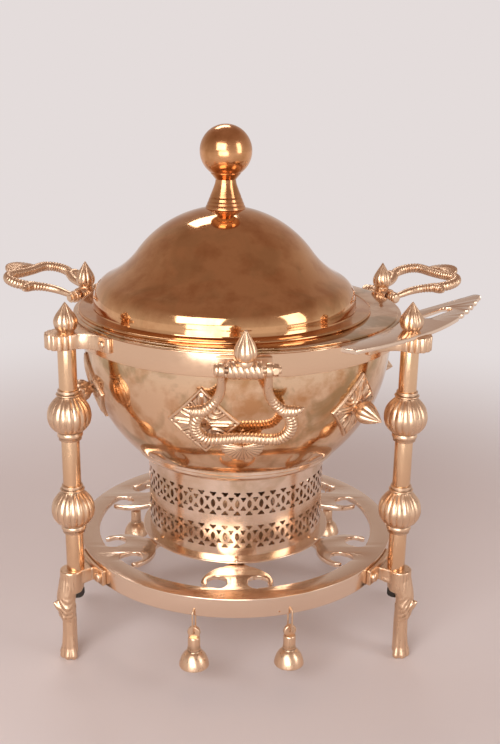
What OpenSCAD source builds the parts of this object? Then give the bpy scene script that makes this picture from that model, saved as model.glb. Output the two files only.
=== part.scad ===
// Round brass chafing dish on a three-legged stand.
// A pierced burner housing stands on the lower ring, a hemispherical water bowl hangs in the top
// ring, a food pan drops into the bowl and a domed lid is lifted off by its ball knob.
// Millimetres, +Z up, front of the dish toward -Y, origin on the floor under the stand's axis.

/* [Stand] */
// Outside radius of the top ring's band
band_radius = 151; // [130:1:180]
// Height of the top ring's band
band_height = 20; // [14:1:28]
// Thickness of the top ring's band
band_thickness = 2.8; // [1.5:0.1:4]
// Floor to the upper edge of the top ring
band_top = 314; // [290:1:350]
// How far the legs stand outside the band
leg_standoff = 19; // [17:0.5:24]
// Floor to the upper face of the lower ring
ring_top = 96; // [90:1:105]
// Thickness of the lower ring's flat rim
ring_plate = 4; // [3:0.5:6]
// Width of the lower ring's flat rim
ring_rim = 19; // [14:1:26]
// Height of the skirt under the lower ring's edge
skirt_height = 18; // [14:1:20]
// Thickness of the skirt
skirt_thickness = 3; // [2:0.5:4]

/* [Legs] */
// Diameter of the leg tubes
tube_diameter = 16; // [12:0.5:20]
// Wall of the leg tubes
tube_wall = 1.3; // [0.8:0.1:2]
// Diameter of the fluted melon knops
melon_diameter = 39; // [32:1:46]
// Length of a knop between its collars
melon_length = 34; // [28:1:36]
// Flutes around a knop
melon_flutes = 18; // [10:1:24]
// Middle of the upper knop above the floor
upper_melon = 240; // [228:1:250]
// Middle of the lower knop above the floor
lower_melon = 151; // [146:1:160]
// Diameter of the rod clamping each leg together
rod_diameter = 6; // [4:0.5:8]

/* [Bowl and pan] */
// Wall of the water bowl
bowl_wall = 2; // [1:0.1:3]
// Thickness of the bowl's rim
bowl_rim = 1.6; // [1:0.1:3]
// Radial play between the bowl's neck and the band
bowl_play = 5.2; // [2:0.2:8]
// Height of the ring under the bowl
foot_height = 12.7; // [9:0.1:14]
// Radius of the food pan's opening
pan_radius = 117; // [100:1:120]
// Depth of the food pan
pan_depth = 58; // [30:1:65]
// Sheet thickness of the food pan
pan_sheet = 1.4; // [0.8:0.1:2.5]

/* [Lid] */
// How far the loose lid has been set to the left
lid_shift = 12; // [0:1:12]
// Radius of the lid's upright band
lid_band_radius = 121.5; // [118:0.5:124]
// Height of the lid's upright band
lid_band_height = 8; // [4:0.5:16]
// Rise of the dome from the rim to its crown
lid_rise = 92; // [84:1:104]
// Radius of the crown
lid_crown_radius = 100.3; // [96:0.1:104]
// Width of the lid's flat rim
lid_rim = 13.5; // [8:0.5:14]
// Sheet thickness of the lid
lid_sheet = 1.6; // [1:0.1:2.5]
// Diameter of the ball on the knob
ball_diameter = 47; // [36:1:54]

/* [Burner] */
// Outside diameter of the pierced housing
housing_diameter = 169; // [140:1:176]
// Height of the pierced housing
housing_height = 78.6; // [74:0.2:82]
// Sheet thickness of the housing
housing_sheet = 1.6; // [1:0.1:2.5]
// Openings around each pierced row
piercings = 48; // [24:2:60]
// Thickness of the base plate
base_plate = 2.4; // [1.6:0.2:3]

/* [Handles] */
// How far the handle pivots stand outside the band
handle_standoff = 22.5; // [20:0.5:26]
// Half the distance between a bail's two eyes
eye_half = 18.5; // [17:0.5:22]
// Pivot to the grip of a bail
bail_drop = 76; // [64:1:78]
// Half the width of a bail's grip
bail_half = 39; // [34:1:42]
// Radius of the bail's rod
bail_rod = 4.2; // [3:0.1:5]
// Angle the front bail leans in toward the bowl
front_lean = 24; // [0:1:24]
// Angle of the two rear bails above the horizontal
rear_raise = 11; // [0:1:40]
// Finial to the outer tip of the ladle rest
rest_reach = 146; // [110:1:170]

/* [Bells] */
// Angle of each bell from the middle of its arc
bell_angle = 16; // [12:0.5:20]
// Hole in the skirt to the eye of the bell
link_length = 22; // [18:0.5:24]
// Mouth diameter of a bell
bell_mouth = 26.4; // [22:0.2:28]
// Height of a bell from its eye to its mouth
bell_height = 32.5; // [30:0.5:36]

/* [Hidden] */
$fn = 64;
GAP = 0.3;
RUN = 0.06;
LEG_ANGLES = [210, 330, 90];
HANDLE_ANGLES = [271, 31, 151];
BELL_ARCS = [271.6, 30, 151.6];
BELL_ANGLES = [for (a = BELL_ARCS) for (s = [-1, 1]) a + s * bell_angle];
leg_circle = band_radius + leg_standoff;
ring_radius = leg_circle - 17;
band_inner = band_radius - band_thickness;
bracket_top = band_top - 0.5;
bracket_height = 13;
bracket_bottom = bracket_top - bracket_height;
wing = 3.2;
wing_angle = 15;
rivet_angle = 11.5;
rivet_radius = 2;
rivet_hole = rivet_radius + 0.05;
rod_radius = rod_diameter / 2;
rod_bore = rod_radius + 0.2;
tube_radius = tube_diameter / 2;
melon_radius = melon_diameter / 2;
collar_upper = 5;
collar_lower = 7;
pad_top = ring_top - 6;
pad_height = 20;
foot_lean = 7;
bolt_angle = 7.2;
bolt_radius = 2.5;
bolt_z = ring_top - skirt_height / 2 - 1;
ornament_tip = housing_diameter / 2 + 1.5;
base_radius = housing_diameter / 2 + 6.5;
base_screw_circle = ornament_tip + 2.5;
housing_bottom = ring_top + base_plate;
housing_top = housing_bottom + housing_height;
housing_radius = housing_diameter / 2;
bowl_radius = band_inner - bowl_play;
foot_top = housing_radius + 12.5;
bowl_bottom = housing_top + GAP + foot_height;
bowl_centre = band_top - 24;
bowl_rim_top = band_top + bowl_rim;
pan_rim_top = bowl_rim_top + pan_sheet;
medallion_dip = 16;
medallion_offset = -12.6;
medallion_plate = 3;
bud_stud = 2.5;
lid_base = pan_rim_top;
shoulder = 21.5;
flare = 80;
crown_at = [0, lid_rise - lid_crown_radius];
shoulder_at = [lid_band_radius - shoulder, lid_band_height];
knob_seat = lid_rise - 2;
ball_radius = ball_diameter / 2;
handle_circle = band_radius + handle_standoff;
pivot_z = band_top - 6;
plate_bottom = band_top - 19;
plate_rivet = plate_bottom + 3.2;
barrel_half = eye_half - 5.3;
eye_thick = 5;
pin_radius = 3;
bail_bore = pin_radius + RUN;
link_wire = 0.8;
skirt_mid = ring_radius - skirt_thickness / 2;
bell_hole = ring_top - 13;
bell_eye = bell_hole - link_length;
mouth = bell_mouth / 2;
bell_neck = 5.6;
rest_thick = 2.5;

// Which piece to show, or all of them

POLISHED = [0.86, 0.68, 0.36];
CAST = [0.74, 0.58, 0.32];
STEEL = [0.32, 0.32, 0.34];

// Centre of the concave arc of radius r that touches two circles from outside.
function touching(a, ra, b, rb, r) =
    let (d = norm(b - a),
         p = ra + r,
         q = rb + r,
         s = (p * p - q * q + d * d) / (2 * d),
         h = sqrt(p * p - s * s),
         u = (b - a) / d)
    a + s * u + h * [-u[1], u[0]];

flare_at = touching(crown_at, lid_crown_radius, shoulder_at, shoulder, flare);

// Stand children at a leg, local +X pointing outward from the dish.
module at_leg(i)
    rotate([0, 0, LEG_ANGLES[i]])
    translate([leg_circle, 0, 0])
    children();

module at_handle(i)
    rotate([0, 0, HANDLE_ANGLES[i]])
    translate([handle_circle, 0, 0])
    children();

module at_bell(i)
    rotate([0, 0, BELL_ANGLES[i]])
    translate([skirt_mid, 0, 0])
    children();

module ring2d(outer, inner)
    difference() {
        circle(outer);
        circle(inner);
    }

module tube(outer, inner, height)
    difference() {
        cylinder(h = height, r = outer);
        translate([0, 0, -1]) cylinder(h = height + 2, r = inner);
    }

// A flat sector from -half to half degrees around +X.
module sector2d(reach, half)
    polygon([[0, 0],
             [reach * cos(half) * 1.3, -reach * sin(half) * 1.3],
             [reach * 1.5, 0],
             [reach * cos(half) * 1.3, reach * sin(half) * 1.3]]);

// Curved plate around the dish's axis.
module arc_plate(outer, inner, half, height)
    linear_extrude(height)
    intersection() {
        ring2d(outer, inner);
        sector2d(outer, half);
    }

// Straight tapered rod between two points.
module rod(a, b, ra, rb) {
    d = b - a;
    translate(a)
    rotate([0, acos(d[2] / norm(d)), atan2(d[1], d[0])])
    cylinder(h = norm(d), r1 = ra, r2 = rb);
}

// A bent rod through the points, a ball at every bend.
module bent_rod(points, radii)
    for (i = [0 : len(points) - 2]) {
        rod(points[i], points[i + 1], radii[i] * 0.985, radii[i + 1] * 0.985);
        if (i > 0) translate(points[i]) sphere(radii[i]);
    }

// V-shaped flute along a meridian arc about the local Y axis.
module flute(radius, depth, width, from, sweep)
    rotate([90, 0, 0])
    rotate([0, 0, from])
    rotate_extrude(angle = sweep)
    polygon([[radius - depth, 0], [radius + 1, width], [radius + 1, -width]]);

module hex_nut(across, height, bore)
    difference() {
        cylinder(h = height, r = across / sqrt(3), $fn = 6);
        translate([0, 0, -1]) cylinder(h = height + 2, r = bore);
    }

// Lid.

// Half section of the dome, drawn in by inset and carried below the rim by drop.
module dome_area(inset, drop)
    intersection() {
        translate([0, -drop]) square([lid_band_radius + 5, lid_rise + 5]);
        union() {
            translate(crown_at) circle(lid_crown_radius - inset);
            translate(shoulder_at) circle(shoulder - inset);
            translate([0, -drop]) square([lid_band_radius - inset, shoulder_at[1] + drop]);
            difference() {
                polygon([crown_at, flare_at, shoulder_at]);
                translate(flare_at) circle(flare + inset - 0.03);
            }
        }
    }

module lid_dome()
    color(POLISHED)
    translate([-lid_shift, 0, lid_base])
    difference() {
        union() {
            rotate_extrude() dome_area(0, 0);
            cylinder(h = lid_sheet, r = lid_band_radius + lid_rim);
        }
        rotate_extrude() dome_area(lid_sheet, 2);
        translate([0, 0, lid_rise - 10]) cylinder(h = 20, r = rod_bore);
    }

module lid_knob()
    color(POLISHED)
    translate([-lid_shift, 0, lid_base + knob_seat]) {
        difference() {
            union() {
                difference() {
                    cylinder(h = 22, r1 = 18.3, r2 = 9.9);
                    for (z = [3.4, 6.4, 10])
                        translate([0, 0, z])
                        rotate_extrude()
                        translate([18.3 - z * 0.38, 0])
                        circle(0.5);
                }
                translate([0, 0, 21.5]) cylinder(h = 5, r1 = 9.7, r2 = 9.2);
                translate([0, 0, 25.5]) cylinder(h = 6, r1 = 9.5, r2 = 13.4);
                translate([0, 0, 27.5 + ball_radius]) sphere(ball_radius);
            }
            translate([0, 0, lid_rise - lid_crown_radius - knob_seat]) sphere(lid_crown_radius);
        }
        translate([0, 0, lid_rise - knob_seat - lid_sheet - 8]) cylinder(h = 20, r = rod_radius);
    }

module lid_knob_nut()
    color(STEEL)
    translate([-lid_shift, 0, lid_base + lid_rise - lid_sheet - 5.2])
    hex_nut(10, 5, rod_radius);

// Food pan and bowl.

module food_pan()
    color(POLISHED)
    translate([0, 0, pan_rim_top - pan_depth])
    rotate_extrude() {
        difference() {
            intersection() {
                union() {
                    square([pan_radius - 16, pan_depth]);
                    translate([pan_radius - 16, 16]) circle(16);
                    translate([0, 16]) square([pan_radius, pan_depth - 16]);
                }
                square([pan_radius, pan_depth]);
            }
            translate([0, pan_sheet]) square([pan_radius - 16, pan_depth]);
            translate([pan_radius - 16, 16]) circle(16 - pan_sheet);
            translate([0, 16]) square([pan_radius - pan_sheet, pan_depth]);
        }
        translate([pan_radius - pan_sheet, pan_depth - pan_sheet])
        square([band_inner + 0.3 - pan_radius + pan_sheet, pan_sheet]);
    }

module at_medallion(k)
    translate([0, 0, bowl_centre])
    rotate([0, 0, 270 + medallion_offset + 60 * k])
    rotate([0, medallion_dip, 0])
    children();

// Half section of the bowl below its middle, drawn in by inset.
module bowl_area(inset)
    intersection() {
        translate([0, bowl_centre]) circle(bowl_radius - inset);
        polygon([[0, bowl_bottom + inset], [foot_top, bowl_bottom + inset],
                 [foot_top + 100, bowl_bottom + inset + 32], [foot_top + 100, bowl_centre + inset],
                 [0, bowl_centre + inset]]);
    }

module bowl()
    color(POLISHED)
    difference() {
        rotate_extrude() {
            difference() {
                bowl_area(0);
                bowl_area(bowl_wall);
            }
            translate([bowl_radius - bowl_wall, bowl_centre])
            square([bowl_wall, bowl_rim_top - bowl_centre]);
            translate([bowl_radius - bowl_wall, band_top])
            square([band_radius + 0.4 - bowl_radius + bowl_wall, bowl_rim]);
        }
        for (k = [0 : 5])
            at_medallion(k)
            translate([bowl_radius - 8, 0, 0])
            rotate([0, 90, 0])
            cylinder(h = 16, r = bud_stud);
    }

module bowl_foot_ring()
    color(POLISHED)
    translate([0, 0, housing_top + GAP])
    rotate_extrude()
    polygon([[housing_radius - 4, 0], [housing_radius + 4, 0],
             [foot_top - 2, foot_height * 0.32], [foot_top - 0.5, foot_height * 0.44],
             [foot_top - 0.5, foot_height], [housing_radius - 4, foot_height]]);

module diamond(wide, tall)
    polygon([[-tall, 0], [0, -wide], [tall, 0], [0, wide]]);

module relief2d() {
    difference() {
        diamond(31, 33);
        diamond(27, 28.8);
    }
    circle(11);
    translate([-29, -1]) square([58, 2]);
    for (s = [-1, 1])
        for (k = [-1, 1])
            for (v = [9, 17])
                translate([k * v, 0])
                rotate([0, 0, s * (90 - k * 38)])
                translate([0, -0.8])
                square([18 - v * 0.4, 1.6]);
}

module medallion_plates()
    color(CAST)
    for (k = [0 : 5])
        at_medallion(k)
        difference() {
            union() {
                intersection() {
                    rotate([0, 90, 0]) linear_extrude(bowl_radius + 10) diamond(31, 33);
                    sphere(bowl_radius + medallion_plate - 1.2);
                }
                intersection() {
                    rotate([0, 90, 0])
                    linear_extrude(bowl_radius + 10)
                    intersection() {
                        relief2d();
                        diamond(31, 33);
                    }
                    sphere(bowl_radius + medallion_plate);
                }
            }
            sphere(bowl_radius);
            translate([bowl_radius - 8, 0, 0]) rotate([0, 90, 0]) cylinder(h = 16, r = bud_stud);
        }

module bud2d(wide, belly, tip) {
    a = (tip * tip - wide * wide) / (2 * wide);
    b = belly * 0.55;
    intersection() {
        translate([-a, 0]) circle(wide + a);
        square([wide, tip]);
    }
    intersection() {
        translate([0, 0]) circle(wide);
        translate([0, -b]) square([wide, b]);
    }
    translate([0, -belly]) square([wide * 0.62, belly]);
}

// Fluted bud standing on its base at z = 0.
module bud(wide, belly, tip, flutes) {
    a = (tip * tip - wide * wide) / (2 * wide);
    translate([0, 0, belly])
    difference() {
        rotate_extrude() bud2d(wide, belly, tip);
        for (k = [0 : flutes - 1])
            rotate([0, 0, (k + 0.5) * 360 / flutes])
            translate([-a, 0, 0])
            flute(wide + a, 0.9, 2.1, -6, asin(tip * 0.8 / (wide + a)) + 6);
    }
}

// The front left plate has lost its bud, and its stud ends inside the plate.
module medallion_buds()
    color(CAST)
    for (k = [0 : 5])
        at_medallion(k)
        translate([bowl_radius + medallion_plate, 0, 0])
        rotate([0, 90, 0]) {
            if (k > 0) bud(9, 7, 16, 8);
            translate([0, 0, -medallion_plate - bowl_wall - 3])
            cylinder(h = medallion_plate + bowl_wall + (k > 0 ? 5 : 1.4), r = bud_stud);
        }

// Rings of the stand.

module top_ring()
    color(POLISHED)
    difference() {
        translate([0, 0, band_top - band_height]) tube(band_radius, band_inner, band_height);
        for (i = [0 : 2])
            for (s = [-1, 1]) {
                rotate([0, 0, LEG_ANGLES[i] + s * rivet_angle])
                translate([band_inner - 3, 0, bracket_top - bracket_height / 2])
                rotate([0, 90, 0])
                cylinder(h = 9, r = rivet_hole);
                rotate([0, 0, HANDLE_ANGLES[i] + s * 6])
                translate([band_inner - 3, 0, plate_rivet])
                rotate([0, 90, 0])
                cylinder(h = 9, r = rivet_hole);
            }
    }

// Cut-plate ornament, root on the rim and tip toward the axis (local +Y).
module ornament2d(reach) {
    polygon([[-17, -4], [17, -4], [9, 7], [7.5, reach - 12], [-7.5, reach - 12], [-9, 7]]);
    difference() {
        intersection() {
            translate([0, reach * 0.2]) circle(reach * 0.67);
            translate([-40, reach * 0.2]) square([80, reach]);
        }
        for (s = [-1, 1]) {
            translate([s * reach * 0.38, reach * 0.27]) circle(reach * 0.19);
            translate([s * reach * 0.46, reach * 0.06]) circle(reach * 0.2);
        }
    }
    difference() {
        translate([-14, reach * 0.8]) square([28, reach * 0.2]);
        for (s = [-1, 1]) translate([s * 14.5, reach * 1.06]) circle(8.2);
    }
}

module lower_ring()
    color(POLISHED)
    difference() {
        union() {
            translate([0, 0, ring_top - ring_plate])
            tube(ring_radius, ring_radius - ring_rim, ring_plate);
            translate([0, 0, ring_top - skirt_height])
            tube(ring_radius, ring_radius - skirt_thickness, skirt_height);
            for (k = [0 : 5])
                rotate([0, 0, 30 + 60 * k])
                translate([ring_radius - ring_rim, 0, ring_top - ring_plate])
                rotate([0, 0, 90])
                linear_extrude(ring_plate)
                ornament2d(ring_radius - ring_rim - ornament_tip);
        }
        for (a = BELL_ANGLES)
            rotate([0, 0, a])
            translate([ring_radius - skirt_thickness - 3, 0, bell_hole])
            rotate([0, 90, 0])
            cylinder(h = skirt_thickness + 6, r = link_wire + 0.35);
        for (a = LEG_ANGLES)
            for (s = [-1, 1])
                rotate([0, 0, a + s * bolt_angle])
                translate([ring_radius - skirt_thickness - 3, 0, bolt_z])
                rotate([0, 90, 0])
                cylinder(h = skirt_thickness + 6, r = bolt_radius);
        for (k = [0 : 5])
            rotate([0, 0, 30 + 60 * k])
            translate([base_screw_circle, 0, ring_top - ring_plate - 1])
            cylinder(h = ring_plate + 2, r = 1.5);
        rotate([0, 0, BELL_ANGLES[1] - 4])
        translate([ring_radius - skirt_thickness - 3, 0, ring_top - 14])
        rotate([0, 90, 0])
        cylinder(h = skirt_thickness + 6, r = 0.8);
    }

// Burner.

module burner_base()
    color(POLISHED)
    translate([0, 0, ring_top])
    difference() {
        cylinder(h = base_plate, r = base_radius);
        for (k = [0 : 5])
            rotate([0, 0, 30 + 60 * k])
            translate([base_screw_circle, 0, -1])
            cylinder(h = base_plate + 2, r = 1.5);
    }

module base_screws()
    color(CAST)
    for (k = [0 : 5])
        rotate([0, 0, 30 + 60 * k])
        translate([base_screw_circle, 0, 0]) {
            translate([0, 0, ring_top - ring_plate - 2]) cylinder(h = ring_plate + base_plate + 2.5, r = 1.5);
            translate([0, 0, housing_bottom]) cylinder(h = 1.4, r1 = 2, r2 = 1.7);
        }

// One repeat of the pierced band: a lens, leaves above and below it, and two between it and the next.
module piercing2d(pitch, tall) {
    h = tall * 0.2;
    w = pitch * 0.21;
    r = (h * h + w * w) / (2 * w);
    intersection() {
        translate([r - w, 0]) circle(r);
        translate([w - r, 0]) circle(r);
    }
    for (s = [-1, 1]) {
        polygon([[-pitch * 0.25, s * tall * 0.43], [pitch * 0.25, s * tall * 0.43], [0, s * tall * 0.28]]);
        translate([pitch / 2, 0])
        polygon([[-pitch * 0.17, s * tall * 0.25], [pitch * 0.17, s * tall * 0.25], [0, s * tall * 0.06]]);
    }
}

module burner_housing()
    color(POLISHED)
    difference() {
        translate([0, 0, housing_bottom])
        tube(housing_radius, housing_radius - housing_sheet, housing_height);
        for (row = [0.28, 0.695])
            for (k = [0 : piercings - 1])
                rotate([0, 0, k * 360 / piercings])
                translate([housing_radius - housing_sheet - 1.2, 0, housing_bottom + row * housing_height])
                rotate([90, 0, 90])
                linear_extrude(housing_sheet + 2.4)
                piercing2d(2 * PI * housing_radius / piercings, housing_height * 0.33);
    }

module fuel_cup()
    color(CAST)
    translate([0, 0, housing_bottom])
    difference() {
        cylinder(h = 36, r = 36);
        translate([0, 0, 1.6]) cylinder(h = 40, r = 34.4);
    }

// Legs.

module bracket2d()
    difference() {
        union() {
            circle(13);
            difference() {
                translate([4, 0]) circle(14.5);
                for (a = [-72 : 24 : 72])
                    translate([4 + 15.4 * cos(a), 15.4 * sin(a)])
                    circle(2.2);
            }
            polygon([[2, -12.6], [2, 12.6], [-leg_standoff + 0.5, 24], [-leg_standoff - 6, 24],
                     [-leg_standoff - 6, -24], [-leg_standoff + 0.5, -24]]);
            translate([-leg_circle, 0])
            intersection() {
                circle(band_radius + wing);
                sector2d(band_radius, wing_angle);
            }
        }
        translate([-leg_circle, 0]) circle(band_radius);
        circle(rod_bore);
    }

module leg_bracket(i)
    color(CAST)
    at_leg(i)
    difference() {
        translate([0, 0, bracket_bottom]) linear_extrude(bracket_height) bracket2d();
        for (s = [-1, 1])
            translate([-leg_circle, 0, 0])
            rotate([0, 0, s * rivet_angle])
            translate([band_radius - 3, 0, bracket_top - bracket_height / 2])
            rotate([0, 90, 0])
            cylinder(h = 22, r = rivet_hole);
    }

module leg_1_bracket() leg_bracket(0);
module leg_2_bracket() leg_bracket(1);
module leg_3_bracket() leg_bracket(2);

upper_melon_top = upper_melon + melon_length / 2 + collar_upper;
upper_melon_bottom = upper_melon - melon_length / 2 - collar_lower;
lower_melon_top = lower_melon + melon_length / 2 + collar_upper;
lower_melon_bottom = lower_melon - melon_length / 2 - collar_lower;

module leg_tubes(i)
    color(CAST)
    at_leg(i) {
        translate([0, 0, upper_melon_top])
        tube(tube_radius, tube_radius - tube_wall, bracket_bottom - upper_melon_top);
        translate([0, 0, lower_melon_top])
        tube(tube_radius, tube_radius - tube_wall, upper_melon_bottom - lower_melon_top);
        translate([0, 0, pad_top])
        tube(tube_radius, tube_radius - tube_wall, lower_melon_bottom - pad_top);
    }

module leg_1_tubes() leg_tubes(0);
module leg_2_tubes() leg_tubes(1);
module leg_3_tubes() leg_tubes(2);

// Fluted knop with a stepped collar at each end, bored for the rod.
module melon()
    difference() {
        union() {
            difference() {
                intersection() {
                    sphere(melon_radius);
                    translate([0, 0, -melon_length / 2]) cylinder(h = melon_length, r = melon_radius + 1);
                }
                for (k = [0 : melon_flutes - 1])
                    rotate([0, 0, k * 360 / melon_flutes])
                    flute(melon_radius, 1.1, 2.3, -54, 108);
            }
            translate([0, 0, melon_length / 2 - 1.5]) cylinder(h = 3.5, r = tube_radius + 3.2);
            translate([0, 0, melon_length / 2 - 1]) cylinder(h = collar_upper + 1, r = tube_radius + 1.8);
            translate([0, 0, -melon_length / 2 - 2.5]) cylinder(h = 4, r = tube_radius + 3.6);
            translate([0, 0, -melon_length / 2 - collar_lower])
            cylinder(h = collar_lower + 1, r = tube_radius + 2);
        }
        translate([0, 0, -melon_length]) cylinder(h = 2 * melon_length, r = rod_bore);
    }

module leg_melons(i)
    color(CAST)
    at_leg(i) {
        translate([0, 0, upper_melon]) melon();
        translate([0, 0, lower_melon]) melon();
    }

module leg_1_melons() leg_melons(0);
module leg_2_melons() leg_melons(1);
module leg_3_melons() leg_melons(2);

// Paw casting, pad under the tube, arm to the ring, shank and three toes on the floor.
module leg_foot(i)
    color(CAST)
    at_leg(i)
    difference() {
        union() {
            translate([0, 0, pad_top - pad_height]) cylinder(h = pad_height, r = tube_radius + 4.5);
            translate([0, -8.5, pad_top - pad_height + 4]) cube([14.5, 17, pad_height - 4]);
            translate([-16.9, -9, pad_top - 13]) cube([17.4, 18, 13]);
            translate([-leg_circle, 0, bolt_z - 7.5])
            arc_plate(ring_radius + 4, ring_radius, 9.6, 15);
            bent_rod([[foot_lean - 2, 0, pad_top - 12], [foot_lean + 3.4, 0, 56], [foot_lean + 4.2, 0, 44],
                      [foot_lean + 0.6, 0, 24], [foot_lean + 1.2, 0, 6.8]],
                     [10.5, 9.6, 9.2, 7.6, 8.4]);
            translate([foot_lean + 1.2, 0, -2]) cylinder(h = 10, r = 7.6);
            rod([foot_lean + 5, 0, 52], [foot_lean + 11, 0, 43], 6.2, 1.2);
            for (s = [-1, 0, 1])
                rod([foot_lean + 2, s * 3.6, 8.6], [foot_lean + 9.2 - abs(s) * 1.6, s * 6.1, 3.3], 4.1, 3.6);
            for (s = [-1, 0, 1])
                translate([foot_lean + 9.2 - abs(s) * 1.6, s * 6.1, 3.3])
                sphere(3.95);
        }
        translate([-40, -40, -40]) cube([90, 80, 40]);
        translate([0, 0, pad_top - pad_height - 22]) cylinder(h = pad_height + 40, r = rod_bore);
        translate([-8.5, -7, pad_top - pad_height - 14]) cube([15.5, 14, 14]);
        for (s = [-1, 1])
            translate([-leg_circle, 0, 0])
            rotate([0, 0, s * bolt_angle])
            translate([ring_radius - 3, 0, bolt_z])
            rotate([0, 90, 0])
            cylinder(h = 14, r = bolt_radius);
    }

module leg_1_foot() leg_foot(0);
module leg_2_foot() leg_foot(1);
module leg_3_foot() leg_foot(2);

module leg_rods()
    color(STEEL)
    for (i = [0 : 2])
        at_leg(i)
        translate([0, 0, pad_top - pad_height - 9])
        cylinder(h = bracket_top + 9 + rest_thick + 6 - pad_top + pad_height, r = rod_radius);

module foot_nuts()
    color(STEEL)
    for (i = [0 : 2])
        at_leg(i)
        translate([0, 0, pad_top - pad_height - 5])
        hex_nut(10, 5, rod_radius);

finial_tip = 17.5;
finial_belly = 8;

module finial()
    difference() {
        union() {
            cylinder(h = 1.5, r = 7.2);
            translate([0, 0, 0.5]) bud(10.3, finial_belly, finial_tip, 8);
        }
        translate([0, 0, -1]) cylinder(h = 10, r = rod_radius);
    }

// The finial over the ladle rest stands on the rest, the other two on their brackets.
module leg_finials()
    color(CAST)
    for (i = [0 : 2])
        at_leg(i)
        translate([0, 0, bracket_top + (i == 1 ? rest_thick : 0)])
        finial();

module bracket_rivets()
    color(CAST)
    for (i = [0 : 2])
        for (s = [-1, 1]) {
            rotate([0, 0, LEG_ANGLES[i] + s * rivet_angle])
            translate([band_inner - 1, 0, bracket_top - bracket_height / 2])
            rotate([0, 90, 0]) {
                cylinder(h = band_thickness + wing + 1.2, r = rivet_radius);
                intersection() {
                    translate([0, 0, band_thickness + wing - 1.2]) sphere(4);
                    translate([0, 0, band_thickness + wing + 1]) cylinder(h = 5, r = 6);
                }
                cylinder(h = 0.88, r = 3.4);
            }
            rotate([0, 0, HANDLE_ANGLES[i] + s * 6])
            translate([band_inner - 1, 0, plate_rivet])
            rotate([0, 90, 0]) {
                cylinder(h = band_thickness + 1 + 3, r = rivet_radius);
                translate([0, 0, band_thickness + 4]) cylinder(h = 1.2, r1 = 3.4, r2 = 2.4);
                cylinder(h = 0.88, r = 3.4);
            }
        }

module foot_bolts()
    color(CAST)
    for (a = LEG_ANGLES)
        for (s = [-1, 1])
            rotate([0, 0, a + s * bolt_angle])
            translate([ring_radius, 0, bolt_z])
            rotate([0, 90, 0]) {
                translate([0, 0, -skirt_thickness - 4.5]) cylinder(h = skirt_thickness + 9, r = bolt_radius);
                translate([0, 0, 4.1]) cylinder(h = 2.2, r = 4.6);
                translate([0, 0, 6.3]) cylinder(h = 1.2, r1 = 4.6, r2 = 3);
                translate([0, 0, -skirt_thickness - 4.1]) cylinder(h = 4, r = 8 / sqrt(3), $fn = 6);
            }

// Handles.

module handle_bracket(i)
    color(CAST)
    difference() {
        union() {
            rotate([0, 0, HANDLE_ANGLES[i]])
            translate([0, 0, plate_bottom])
            arc_plate(band_radius + 3, band_radius, 8.4, 17);
            at_handle(i)
            translate([band_radius + 2.6 - handle_circle, -9, pivot_z - 4.5])
            cube([handle_circle - band_radius - 2.6, 18, 9]);
            at_handle(i)
            translate([0, 0, pivot_z])
            rotate([90, 0, 0]) {
                translate([0, 0, -barrel_half]) cylinder(h = 2 * barrel_half, r = 5.9);
                for (k = [-3 : 3])
                    translate([0, 0, k * (barrel_half - 2.2) / 3])
                    rotate_extrude()
                    translate([5.1, 0])
                    circle(1.9);
            }
            at_handle(i) translate([0, 0, pivot_z + 4]) cylinder(h = 4, r = 7.4);
        }
        at_handle(i)
        translate([0, 0, pivot_z])
        rotate([90, 0, 0])
        translate([0, 0, -30])
        cylinder(h = 60, r = pin_radius);
        for (s = [-1, 1])
            rotate([0, 0, HANDLE_ANGLES[i] + s * 6])
            translate([band_radius - 3, 0, plate_rivet])
            rotate([0, 90, 0])
            cylinder(h = 9, r = rivet_hole);
    }

module handle_1_bracket() handle_bracket(0);
module handle_2_bracket() handle_bracket(1);
module handle_3_bracket() handle_bracket(2);

// Bail hanging from its pivot: eyes, flaring arms with spikes, round grip and a shell below it.
module bail() {
    w = bail_half;
    d = bail_drop;
    e = eye_half;
    difference() {
        union() {
            for (s = [-1, 1]) {
                translate([0, s * e - eye_thick / 2, 0])
                rotate([-90, 0, 0])
                cylinder(h = eye_thick, r = 6);
                bent_rod([[0, s * e, -3.5], [0, s * e, -d * 0.29], [0, s * (e + 6.5), -d * 0.49],
                          [0, s * (w - 5), -d * 0.6], [0, s * w, -d * 0.74], [0, s * (w - 1.6), -d * 0.9],
                          [0, s * (w - 9), -d * 1.0], [0, s * (w - 18), -d * 1.008], [0, 0, -d * 0.985]],
                         [2.5, 2.9, 3.6, bail_rod, bail_rod + 0.2, bail_rod + 0.2, bail_rod + 0.1,
                          bail_rod, bail_rod - 0.2]);
                rod([0, s * (w - 7), -d * 0.59], [0, s * (w + 11), -d * 0.5], bail_rod, 0.8);
            }
            translate([0, 0, -d * 0.985]) sphere(bail_rod - 0.2);
            intersection() {
                translate([-2.6, 0, -d * 1.06]) rotate([0, 90, 0]) cylinder(h = 5.2, r = 15.5);
                translate([-5, -20, -d * 1.06 - 20]) cube([10, 40, 20 + d * 0.05]);
            }
        }
        rotate([90, 0, 0]) translate([0, 0, -40]) cylinder(h = 80, r = bail_bore);
    }
}

module handle_bail(i, raise)
    color(CAST)
    at_handle(i)
    translate([0, 0, pivot_z])
    rotate([0, -raise, 0])
    bail();

module handle_1_bail() handle_bail(0, -front_lean);
module handle_2_bail() handle_bail(1, 90 + rear_raise);
module handle_3_bail() handle_bail(2, 90 + rear_raise);

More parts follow.
